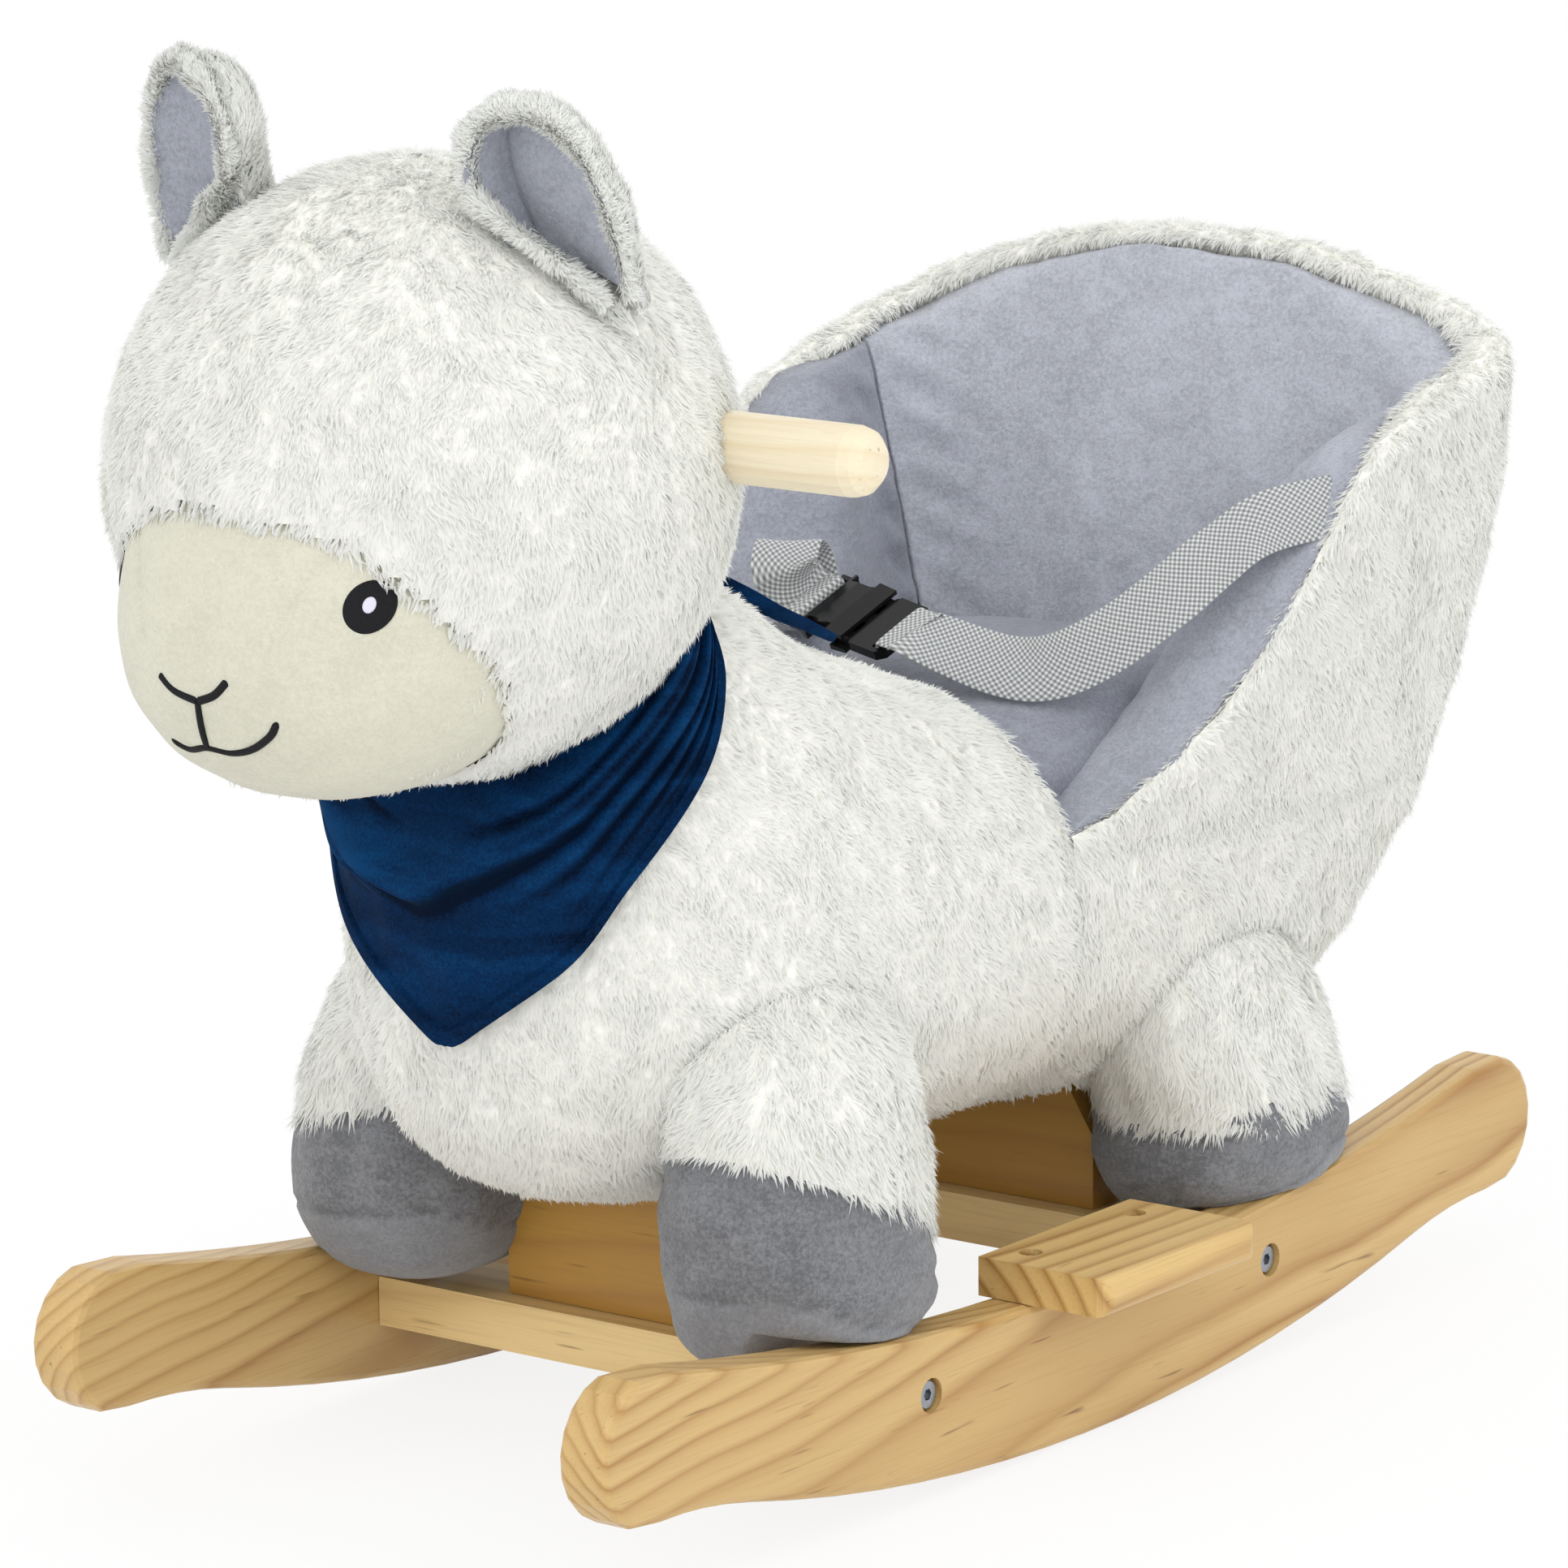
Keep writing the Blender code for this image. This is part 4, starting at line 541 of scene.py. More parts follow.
def body_section(y):
    """Half width, middle height and half height of the barrel at y. The back is a little hollow."""
    ahead = np.clip((CHEST_START - y) / (CHEST_START - CHEST_FRONT), 0.0, 1.0)
    full = (1.0 - ahead**CHEST_POWER) ** (1.0 / CHEST_POWER)
    hollow = BACK_HOLLOW * ease((y + 0.13) / 0.05) * (1.0 - 0.45 * ease((y + 0.04) / 0.06))
    top = BODY_TOP_AT_ZERO + BODY_TOP_SLOPE * y - hollow
    middle = (top + BODY_BOTTOM) / 2
    middle = middle + (CHEST_HEIGHT - middle) * ahead**2
    waist = 1.0 - BODY_WAIST * ease((y + 0.03) / 0.055)
    return BODY_HALF * full * waist, middle, (top - BODY_BOTTOM) / 2 * full


def on_back(x, y, lift):
    """A point some height above the barrel's back."""
    half, middle, height = body_section(np.float64(y))
    rise = (1.0 - abs(x / half) ** BODY_POWER) ** (1.0 / BODY_POWER)
    return x, y, float(middle + height * rise + lift)


def oval(half_a, half_b, power, turn):
    """A superellipse |a/A|^n + |b/B|^n = 1 at the given angles."""
    cosine, sine = np.cos(turn), np.sin(turn)
    a = half_a * np.sign(cosine) * np.abs(cosine) ** (2.0 / power)
    return a, half_b * np.sign(sine) * np.abs(sine) ** (2.0 / power)


def body_grid(rows=70, around=96):
    """The barrel: rows from the chest's tip to the seat, each a superellipse."""
    ahead = np.sin(np.linspace(0.995, 0.0, rows * 2 // 3) * np.pi / 2)
    y = np.concatenate([CHEST_START - ahead * (CHEST_START - CHEST_FRONT),
                        np.linspace(CHEST_START, BODY_END + 0.005, rows // 3 + 1)[1:]])[:, None]
    half, middle, height = body_section(y)
    turn = circle(around)[None, :]
    a, b = oval(half, height, BODY_POWER, turn)
    return points_at(a, y, middle + b)


def body_end_grid(rows=24, around=96):
    """The barrel's end behind the seat's front edge: one superellipse that shrinks to its middle."""
    share = np.linspace(1.0, 0.02, rows)[:, None]
    half, middle, height = body_section(np.float64(BODY_END))
    turn = circle(around)[None, :]
    a, b = oval(half, height, BODY_POWER, turn)
    return points_at(a * share, BODY_END + 0.0018 - 0.0030 * share**8, middle + b * share)


def body_level(p):
    """Below 1 inside the barrel, above 1 outside."""
    x, y, z = np.moveaxis(p, -1, 0)
    half, middle, height = body_section(y)
    half, height = np.maximum(half, 1e-6), np.maximum(height, 1e-6)
    return (np.abs(x) / half) ** BODY_POWER + (np.abs(z - middle) / height) ** BODY_POWER


def head_level(p):
    """Below 1 inside the head's ellipsoid, above 1 outside."""
    return np.linalg.norm((p - HEAD_CENTRE) / HEAD_HALF, axis=-1)


def face_level(p):
    """Below 1 inside the muzzle's egg: its plan is a superellipse and its upper half is stretched."""
    x, y, z = np.moveaxis(p - FACE_CENTRE, -1, 0)
    ahead = np.clip(-y / FACE_HALF[1], 0.0, 1.0)
    x = x / (1.0 - FACE_TAPER * ahead**2)
    z = z + FACE_DROOP * ahead**2
    z = np.where(z > 0, z / FACE_RISE, z)
    flat = np.abs(x / FACE_HALF[0]) ** FACE_POWER + np.abs(y / FACE_HALF[1]) ** FACE_POWER
    flat = flat ** (2 / FACE_POWER)
    return flat + (z / FACE_HALF[2]) ** 2


def ball(centre, half, rows, around, power=2.0):
    """Level rings of an egg, from just above its lower pole to just below its upper one."""
    rise = np.linspace(-np.pi / 2 + 0.006, np.pi / 2 - 0.006, rows)[:, None]
    turn = circle(around)[None, :]
    a, b = oval(half[0] * np.cos(rise), half[1] * np.cos(rise), power, turn)
    return points_at(centre[0] + a, centre[1] + b, centre[2] + half[2] * np.sin(rise))


def seat_levels(z):
    """Outer half width, outer rear, inner half width and inner rear of the tub at height z."""
    low = np.clip((TUB_FULL_HEIGHT - z) / (TUB_FULL_HEIGHT - RUMP_BOTTOM), 0.0, 1.0) ** TUB_WAIST_POWER
    lean = INNER_LEAN * (z - INNER_LEVEL)
    return TUB_HALF - TUB_WAIST * low, TUB_REAR - TUB_WAIST * low, INNER_HALF + lean, INNER_REAR + lean


def plan_curve(s, half, rear, front_half, power, bow):
    """Half the tub's plan for s from 0 at the rear middle to 1 at the V."""
    side = np.abs(s)
    turn = np.clip(side / CORNER_ARC, 0.0, 1.0) * np.pi / 2
    cosine, sine = np.maximum(np.cos(turn), 0.0), np.sin(turn)
    reach = ((cosine / (rear - TUB_CENTRE_Y)) ** power + (sine / half) ** power) ** (-1.0 / power)
    x, y = reach * sine, TUB_CENTRE_Y + reach * cosine
    ahead = np.clip((side - CORNER_ARC) / (1.0 - CORNER_ARC), 0.0, 1.0)
    y = np.where(side > CORNER_ARC, TUB_CENTRE_Y - ahead * (TUB_CENTRE_Y - BODY_END - 0.0003), y)
    x = np.where(side > CORNER_ARC, half - (half - front_half) * ahead**bow, x)
    return np.sign(s) * x, y


def rim_height(x, y):
    """The rim rises from the V beside the body, levels along the wing and crowns over the back."""
    line = through(RIM_LINE, 90)
    crown = RIM_CROWN * np.clip(1.0 - (x / TUB_HALF) ** 2, 0.0, 1.0) * ease((y - 0.17) / 0.07)
    return np.interp(y, line[:, 0], line[:, 1]) + crown


def wall_point(s, z, depth):
    """A point of the tub wall at plan position s and height z, some depth in from the outer face."""
    half, rear, inner_half, inner_rear = seat_levels(z)
    x0, y0 = plan_curve(s, half, rear, np.minimum(TUB_V_HALF, half), TUB_POWER, TUB_BOW)
    x1, y1 = plan_curve(s, inner_half, inner_rear, INNER_V_HALF, TUB_POWER, PAD_BOW)
    run = np.hypot(x1 - x0, y1 - y0)
    share = depth / run
    return x0 + (x1 - x0) * share, y0 + (y1 - y0) * share, run


def over_board(y, z):
    """The fullness of the pile over the seat board's rear edge."""
    return 0.0045 * np.exp(-(((z - 0.199) / 0.020) ** 2)) * ease((y - 0.19) / 0.035)


def rim_at(s):
    """The rim's height at a plan position."""
    x, y, _ = wall_point(s, 0.30, 0.0)
    return rim_height(x, y)


def on_wing(s):
    """0 over the back, 1 along the wings."""
    return ease((np.abs(s) - 0.46) / 0.22)


def pad_outside(s):
    """How deep behind the tub's outer face a pad starts: behind the board at the back, near the fur at the
    wings."""
    return PAD_OUTER - (PAD_OUTER - PAD_OUTER_WING) * on_wing(s)


def tub_grid(columns=220, rows=70):
    """The tub's fur wall: up the outside, over the rim in a half round that is slimmer along the wings, and a
    little down the inside."""
    s = np.linspace(-0.9995, 0.9995, columns)[:, None]
    roll = RIM_ROLL - (RIM_ROLL - RIM_ROLL_WING) * on_wing(s)
    rim = rim_at(s)
    climb = np.linspace(0.0, 1.0, rows - 18)[None, :]
    z_up = TUB_FLOOR + (rim - ROLL_DROP - TUB_FLOOR) * climb
    x, y, _ = wall_point(s, z_up, 0.0)
    outside = points_at(x, y + over_board(y, z_up), z_up)
    angle = np.linspace(0.0, 1.0, 17)[None, 1:] * np.pi * 1.15
    z_over = rim - ROLL_DROP + ROLL_RISE * np.sin(angle)
    x, y, _ = wall_point(s, np.minimum(z_over, rim), roll * (1 - np.cos(angle)))
    z_in = z_over[:, -1:] - np.array([0.006, 0.012])
    xi, yi, _ = wall_point(s, z_in, np.array([[1.70, 1.45]]) * roll)
    return np.concatenate([outside, points_at(x, y, z_over), points_at(xi, yi, z_in)], axis=1)


def rump_grid(columns=160, rows=44):
    """The hindquarters under the seat: level plans of the tub's own outline, rounded below."""
    s = np.linspace(-1.0, 1.0, columns)[:, None]
    t = np.linspace(0.0, 1.0, rows)[None, :]
    z = RUMP_BOTTOM + (RUMP_TOP + 0.007 - RUMP_BOTTOM) * t
    half, rear, _, _ = seat_levels(z)
    _, middle, height = body_section(np.float64(BODY_END))
    full = np.maximum(1.0 - np.abs((z - middle) / height) ** BODY_POWER, 0.02) ** (1 / BODY_POWER)
    front = BODY_HALF * (1.0 - BODY_WAIST) * full
    power = RUMP_POWER + (TUB_POWER - RUMP_POWER) * ease(t)
    x, y = plan_curve(s, half, rear, np.minimum(front, half), power, TUB_BOW)
    tuck = 1.0 - 0.14 * (1.0 - ease(t / 0.5)) ** 2
    y = BODY_END + (y - BODY_END) * tuck
    return points_at(x * tuck, y + over_board(y, z), z)


def grid_normals(grid, wrap, flip):
    """Unit normals of a grid, from its differences along rows and columns."""
    if wrap:
        along_columns = np.roll(grid, -1, 1) - np.roll(grid, 1, 1)
    else:
        along_columns = np.gradient(grid, axis=1)
    normal = unit(np.cross(np.gradient(grid, axis=0), along_columns))
    return -normal if flip else normal


# Long pile


def nearest_spot(p, cell, seed):
    """For each point, the nearest of a set of spots scattered one to a cube of the given size."""
    base = np.floor(p / cell)
    best, spot, mark = np.full(len(p), 9.0), np.zeros_like(p), np.zeros(len(p))
    for shift in np.stack(np.meshgrid(*[[-1, 0, 1]] * 3, indexing="ij"), -1).reshape(-1, 3):
        corner = base + shift
        seeds = corner @ np.array([127.1, 311.7, 74.7]) + seed
        jitter = np.stack([np.sin(seeds * k) * 43758.5453 for k in (1.0, 1.7, 2.3)], axis=-1)
        jitter -= np.floor(jitter)
        here = (corner + jitter) * cell
        far = np.linalg.norm(here - p, axis=-1)
        closer = far < best
        best = np.where(closer, far, best)
        spot = np.where(closer[:, None], here, spot)
        mark = np.where(closer, jitter[:, 0], mark)
    return spot, mark


def scatter(grid, wrap, flip, count, rng):
    """Random places on a grid, evenly by area: their points and normals."""
    normals = grid_normals(grid, wrap, flip)
    points = grid
    if wrap:
        points = np.concatenate([grid, grid[:, :1]], axis=1)
        normals = np.concatenate([normals, normals[:, :1]], axis=1)
    a, b, c = points[:-1, :-1], points[1:, :-1], points[:-1, 1:]
    area = np.linalg.norm(np.cross(b - a, c - a), axis=-1)
    pick = rng.choice(area.size, count, p=area.ravel() / area.sum())
    i, j = np.unravel_index(pick, area.shape)
    f, g = rng.random((2, count))[..., None]

    def at(field):
        low = field[i, j] * (1 - g) + field[i, j + 1] * g
        return low * (1 - f) + (field[i + 1, j] * (1 - g) + field[i + 1, j + 1] * g) * f

    return at(points), unit(at(normals))


def fur(name, grid, count, keep, flow, length, replaces, seed, wrap=True, flip=False, cell=LOCK_SIZE,
        lean=0.88, sink=FUR_INSET):
    """Long pile on a surface: a plain skin set in below it, and flat tapering strands that lean along the
    flow and gather into locks. At t from 0 to 1 a strand is root + length (normal (0.56 t - 0.14 t^2) +
    flow lean t^1.15 + wobble t^2) + pull t^0.8 (lock - root)."""
    rng = np.random.default_rng(seed)
    lumps = 0.0008 * waves(grid, 0.024, 2) + 0.0004 * waves(grid, 0.012, 3) - sink
    grid = grid + grid_normals(grid, wrap, flip) * lumps[..., None]
    top, normal = scatter(grid, wrap, flip, count, rng)
    good = keep(top)
    top, normal = top[good], normal[good]
    n = len(top)
    long = length(top) if callable(length) else np.full(n, length)
    inset = ROOT_DEPTH * long / PILE_LENGTH
    root = top - normal * inset[:, None]
    way = flow(top, normal)
    way = way - normal * np.sum(way * normal, axis=1, keepdims=True)
    side = np.cross(normal, unit(way))
    swirl = waves(root, 0.050, seed + 5) * 0.5 + waves(root, 0.008, seed + 6) * 0.5
    way = unit(way) * np.cos(swirl)[:, None] + side * np.sin(swirl)[:, None]
    spot, mark = nearest_spot(root, cell, seed)
    gather = spot - root
    gather -= normal * np.sum(gather * normal, axis=1, keepdims=True)
    loose = rng.random(n)
    uneven = 0.80 + 0.25 * rng.random(n) + 0.16 * np.clip(waves(root, 0.02, seed + 8), -1, 1)
    long = (long * uneven * np.where(loose > 0.95, 1.2, 1.0))[:, None]
    grip = LOCK_PULL * np.where(loose > 0.85, 0.3, 1.0)
    wobble = rng.normal(size=(n, 3)) * 0.13
    paths = []
    for t in (0.0, STRAND_BEND, 1.0):
        rise = normal * (0.56 * t - 0.14 * t * t) + way * lean * t**1.15 + wobble * t * t
        paths.append(root + long * rise + gather * (grip * t**0.8)[:, None])
    ahead = unit(paths[-1] - paths[0])
    across = unit(np.cross(ahead, normal) + rng.normal(size=(n, 3)) * 0.10)
    across = unit(across - ahead * np.sum(across * ahead, axis=1, keepdims=True))
    broad = (STRAND_WIDTH * (0.7 + 0.6 * rng.random(n)))[:, None] / 2
    low, high = across * broad, across * broad * 0.9
    points = np.stack([paths[0] - low, paths[0] + low, paths[1] - high, paths[1] + high, paths[2]], axis=1)
    first = np.arange(n)[:, None] * 5
    quads, tris = first + [0, 1, 3, 2], first + [2, 3, 4]
    facing = np.cross(points[:, 1] - points[:, 0], paths[1] - paths[0])
    turned = np.sum(facing * normal, axis=1) < 0
    quads[turned] = quads[turned][:, ::-1]
    tris[turned] = tris[turned][:, ::-1]
    points = points.reshape(-1, 3)
    along = np.tile([0.0, 0.0, STRAND_BEND, STRAND_BEND, 1.0], n)
    tone = np.repeat(np.clip(0.6 * mark + 0.4 * rng.random(n), 0, 1), 5)
    soft = np.repeat(normal, 5, axis=0)
    out = grid_normals(grid, wrap, flip)
    under = (grid - out * (ROOT_DEPTH + 0.0003)).reshape(-1, 3)
    base = grid_faces(*grid.shape[:2], wrap_columns=wrap)
    base = base if flip else base[:, ::-1]
    base = base[keep(under[base].mean(axis=1))]
    quads = np.concatenate([quads, base + len(points)])
    soft = np.vstack([soft, out.reshape(-1, 3)])
    # The skin under the strands takes nearly the root colour, painted shade under the pile
    along = np.concatenate([along, np.full(len(under), 0.1)])
    tone = np.concatenate([tone, np.full(len(under), 0.5)])
    points = np.vstack([points, under])
    mesh = mesh_from(name, points, quads, tris)
    marks = mesh.attributes.new("pile", "FLOAT_COLOR", "POINT")
    strand = (np.arange(len(points)) < 5 * n).astype(float)
    marks.data.foreach_set("color", np.stack([along, tone, strand, along * 0 + 1], axis=1).ravel())
    rough = np.empty(len(points) * 3)
    mesh.vertices.foreach_get("normal", rough)
    soft = unit(soft + rough.reshape(-1, 3) * 0.09)
    mesh.normals_split_custom_set_from_vertices(soft.tolist())
    piece = piece_from(name, mesh, white_pile)
    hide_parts(*replaces)
    return piece


def scarf_limits(turn):
    """Lower and upper edge heights of the scarf, by the angle from straight ahead."""
    degrees = np.abs(np.degrees(turn))
    return [np.interp(degrees, *through(edge, 240).T) for edge in (SCARF_LOWER, SCARF_UPPER)]


def down_and_back(p, n):
    """The body's pile falls down its sides and sweeps a little to the rear."""
    return np.array([0.0, 0.35, -1.0]) + p * [2.0, 0.0, 0.0]


def away_from_crown(p, n):
    """The head's pile falls from the crown on all sides and turns outwards on the cheeks."""
    out = p - HEAD_CENTRE
    return np.stack([out[:, 0] * 3, out[:, 1] * 3, np.full(len(p), -0.55)], axis=1)


def both_halves(name, grid, count, keep, flow, length, replaces, axis, where, **more):
    """The same pile in two pieces, parted at a plane, so that each stays light."""
    fur(name + "_a", grid, count, lambda p: keep(p) & (p[:, axis] < where), flow, length, replaces, **more)
    more["seed"] += 100
    fur(name + "_b", grid, count, lambda p: keep(p) & (p[:, axis] >= where), flow, length, replaces, **more)


def face_edge(p):
    """How far forward the pile reaches over the muzzle, by the angle round it from straight up."""
    degrees = np.degrees(np.arctan2(np.abs(p[:, 0]), p[:, 2] - 0.325))
    return np.interp(degrees, (0, 13, 42, 58, 76, 94, 113, 132, 163, 180),
                     (-0.340, -0.336, -0.3225, -0.3086, -0.2968, -0.2900, -0.2885, -0.3005, -0.3099, -0.314))


def outside_head(p):
    return head_level(p) > 0.97


def make_head():
    """Pile over the head, shorter beside the muzzle, and on the muzzle's egg up to the face's edge."""
    grid = ball(HEAD_CENTRE, HEAD_HALF, 80, 112)
    clear = lambda p: (face_level(p) > 1.0) & (body_level(p) > 0.95)
    length = lambda p: PILE_LENGTH * (1.0 - 0.2 * ease(1.0 - (face_level(p) - 1.0) / 0.5))
    both_halves("head_fur", grid, STRANDS["head"], clear, away_from_crown, length, ["head_plush"], 1, -0.236,
                seed=3, flip=True)
    cheek = lambda p: outside_head(p) & (p[:, 1] > face_edge(p) + 0.0005)
    fur("cheek_fur", face_grid(90, 140), STRANDS["cheek"], cheek, away_from_crown, 0.0045, ["head_plush"],
        seed=5, flip=True)


def make_body_fur():
    """Pile over the barrel and its end, shorter where the kerchief and its tail lie on it."""
    def length(p):
        x, y, z = p.T
        lower, upper = scarf_limits(np.arctan2(x, -(y - SCARF_AXIS_Y)))
        covered = (z > lower + 0.004) & (z < upper + 0.02)
        under_tail = (z > 0.262) & (np.abs(x - 0.028) < 0.034) & (np.abs(y + 0.075) < 0.037)
        return np.where(covered | under_tail, 0.0030, PILE_LENGTH)

    keep = lambda p: outside_head(p) & ((p[:, 1] < BODY_END) | (p[:, 2] < 0.232))
    both_halves("body_fur", body_grid(), STRANDS["body"], keep, down_and_back, length, ["body_plush"], 1,
                -0.085, seed=11)
    above_seat = lambda p: p[:, 2] > 0.200
    fur("body_end_fur", body_end_grid(), STRANDS["body_end"], above_seat, down_and_back, PILE_LENGTH,
        ["body_plush"], seed=13)


def everywhere(p):
    return np.ones(len(p), bool)


def outside_body(p):
    return (body_level(p) > 0.93) | (p[:, 1] > BODY_END)


def make_tub_fur():
    """The tub's pile falls straight down inside and spreads a little outside, as it does on the rump."""
    def down(p, n):
        inside = np.sum(n[:, :2] * (p[:, :2] - [0.0, 0.10]), axis=1) < 0
        spread = np.array([0.0, 0.12, -1.0]) + p * [1.0, 0.0, 0.0]
        return np.where(inside[:, None], [0.0, 0.0, -1.0], spread)

    both_halves("tub_fur", tub_grid(), STRANDS["tub"], everywhere, down, PILE_LENGTH, ["tub_shell"], 0, 0.0,
                wrap=False, flip=True, seed=17)
    fur("rump_fur", rump_grid(), STRANDS["rump"], everywhere, down, PILE_LENGTH, ["rump_plush"], wrap=False,
        flip=True, seed=19)


def limb_grid(centre, heights, scales, shifts, around=72):
    """Ovals up a limb, the scale and the shift of each height carried smoothly between its levels."""
    rows = 40
    levels = through(np.column_stack([heights, scales, np.asarray(shifts)]), rows)
    turn = circle(around)[None, :]
    a, b = oval(LEG_HALF[0] * levels[:, 1:2], LEG_HALF[1] * levels[:, 1:2], 2.2, turn)
    side = 1.0 if centre[0] > 0 else -1.0
    x, y = centre[0] + side * levels[:, 2:3] + a, centre[1] + levels[:, 3:4] + b
    return points_at(x, y, levels[:, 0:1])


def rocker_top(y):
    """The rocker's upper edge: an arc over its lowest point at y = 0."""
    return ROCKER_LOW + ROCKER_ARC - np.sqrt(ROCKER_ARC**2 - y**2)


def fringe_slope(grid, centre, side, tilt):
    """How much higher a leg's fringe starts at each point, by its tilt to the rear and outwards."""
    return (grid[..., 1] - centre[1]) * tilt[0] + (grid[..., 0] - centre[0]) * side * tilt[1]


def make_leg(label, centre, end, side, foot, tilt):
    """A leg of long pile whose fringe, a little longer than the rest, starts on a tilted plane."""
    steps, top = np.array([0.0, 0.3, 0.65, 0.9, 1.0]), LEG_TOP[end]
    shifts = [(-0.02 * t, -end * 0.012 * t) for t in steps]
    grid = limb_grid(centre, foot + (top - foot) * steps, (1.07, 1.10, 0.95, 0.58, 0.2), shifts)
    slope = fringe_slope(grid, centre, side, tilt)
    grid[..., 2] += slope * ease((top - grid[..., 2]) / (top - foot))
    down = lambda p, n: (p - centre) * [2.0, 2.0, 0.0] + [0.0, 0.0, -1.0]
    long = lambda p: PILE_LENGTH * (1.0 + 0.4 * ease(1.0 - (p[:, 2] - foot) / 0.012))
    fur("leg_fur_" + label, grid, STRANDS["leg"], outside_body, down, long, ["leg_" + label], flip=True,
        seed=31 + end + 2 * side, lean=1.1)


def make_hoof(label, centre, end, side, lift, raised, tilt):
    """A stuffed velour hoof with a sole seam, soft creases, and a hollow where it sits on the rocker."""
    low, tall = HOOF_BOTTOM + lift, HOOF_TOP - HOOF_BOTTOM + raised + 0.010
    heights = low + tall * np.array([0.0, 0.07, 0.2, 0.45, 0.8, 1.0])
    hoof = limb_grid(centre, heights, (0.46, 0.72, 0.92, 1.05, 1.02, 0.90), [(0.0, 0.0)] * 6, 120)
    out = (hoof - centre) * [1.0, 1.0, 0.0]
    out /= np.linalg.norm(out, axis=-1, keepdims=True)
    level = (hoof[..., 2] - low) / (HOOF_TOP - HOOF_BOTTOM)
    line = SOLE_LEVEL - 0.16 * out[..., 1] * -end + 0.02 * np.sin(5 * np.arctan2(out[..., 1], out[..., 0]))
    seam = np.exp(-((level - line) / 0.016) ** 2)
    crease = np.clip(waves(hoof * [1.0, 1.0, 1.5], 0.036, 41 + end + 2 * side), -1, 1)
    crease *= ease(level / 0.3)
    fine = waves(hoof * [1.0, 1.0, 0.35], 0.010, 47 + end)
    fine *= np.exp(-((level - line - 0.12) / 0.12) ** 2)
    hoof = hoof + out * (0.0013 * crease + 0.0005 * fine - 0.0013 * seam)[..., None]
    over = ease((np.abs(hoof[..., 0]) - ROCKER_INNER) / 0.0155)
    seat = low + (rocker_top(hoof[..., 1]) - HOOF_BOTTOM + 0.0006 - lift) * over
    hoof[..., 2] = np.maximum(hoof[..., 2], seat - 0.004 * (1 - over) * (1 - level))
    hoof[..., 2] += fringe_slope(hoof, centre, side, tilt) * ease((hoof[..., 2] - low) / tall)
    # The hooves' darker velour is painted shade
    piece = closed("hoof_cover_" + label, hoof, hoof_velour_painted_shade)
    # sole is high on the sole below the seam and negative along the seam line, where the velour is darkened
    # as painted shade
    sole = ease((line - level) / 0.03) - 0.6 * np.exp(-((level - line) / 0.014) ** 2)
    lay_mark(piece.data, "sole", np.append(sole.ravel(), [1, 0]))
    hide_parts("hoof_" + label)


def make_limbs():
    """Four legs, each over its hoof."""
    for end, end_name in ((-1, "front"), (1, "rear")):
        for side, side_name in ((-1, "right"), (1, "left")):
            x, y, lift = LEG_SPOTS[end, side]
            raised, *tilt = HOOF_LINE[end, side]
            label, centre = f"{end_name}_{side_name}", np.array([side * x, y, 0.0])
            make_leg(label, centre, end, side, HOOF_TOP + lift + raised, tilt)
            make_hoof(label, centre, end, side, lift, raised, tilt)


def face_grid(rows=150, around=200):
    """The muzzle's egg: narrower and a little lower to the front, taller above its middle."""
    grid = ball(FACE_CENTRE, FACE_HALF, rows, around, FACE_POWER)
    x0, y0, z0 = FACE_CENTRE
    ahead = np.clip((y0 - grid[..., 1]) / FACE_HALF[1], 0.0, 1.0)
    grid[..., 0] *= 1.0 - FACE_TAPER * ahead**2
    above = grid[..., 2] > z0
    grid[..., 2] = np.where(above, z0 + (grid[..., 2] - z0) * FACE_RISE, grid[..., 2])
    grid[..., 2] -= FACE_DROOP * ahead**2
    return grid - grid_normals(grid, True, True) * FACE_INSET


def face_front(x, z):
    """The y at which the muzzle's skin lies, straight ahead of x and z, found by halving."""
    x, z = np.broadcast_arrays(np.asarray(x, float), np.asarray(z, float))
    near, far = np.full(x.shape, -0.37), np.full(x.shape, -0.275)
    for _ in range(34):
        y = (near + far) / 2
        inside = face_level(points_at(x, y, z)) < 1.0
        far, near = np.where(inside, y, far), np.where(inside, near, y)
    return far


def stitched(name, path, width):
    """A line of satin stitch on the muzzle: a low rounded ridge along a smooth path given in x and z."""
    height, steps = 0.0011, 70
    line = through(path, steps)
    centre = np.column_stack([line[:, 0], face_front(line[:, 0], line[:, 1]), line[:, 1]])
    normal = outward(face_level, centre)
    centre = centre - normal * FACE_INSET
    ahead = unit(np.gradient(centre, axis=0))
    side = unit(np.cross(normal, ahead))
    t = np.linspace(0.0, 1.0, steps)
    taper = np.minimum(1.0, np.minimum(t, 1 - t) / 0.05) ** 0.5 * 0.9 + 0.1
    turn = circle(14)
    a = np.cos(turn)[None, :, None] * side[:, None] * (width / 2 * taper)[:, None, None]
    b = (np.sin(turn) * np.where(np.sin(turn) > 0, 1.0, 0.6))[None, :, None] * normal[:, None] * height
    rings = centre[:, None] + a + b * taper[:, None, None]
    return closed(name, rings, black_thread)


def disc_on_face(name, x, z, half, material, height, lift):
    """A small embroidered disc: rings of an oval on the muzzle, domed to its middle."""
    share = np.concatenate([np.sin(np.linspace(0.02, 1.0, 16) * np.pi / 2), [1.0]])[:, None]
    turn = circle(64)[None, :]
    px, pz = x + half[0] * share * np.cos(turn), z + half[1] * share * np.sin(turn)
    points = points_at(px, face_front(px, pz), pz)
    rise = lift - FACE_INSET + height * (1 - share**4) ** 0.5 + 0 * turn
    rise[-1] = -0.0025
    return closed(name, points + outward(face_level, points) * rise[..., None], material)


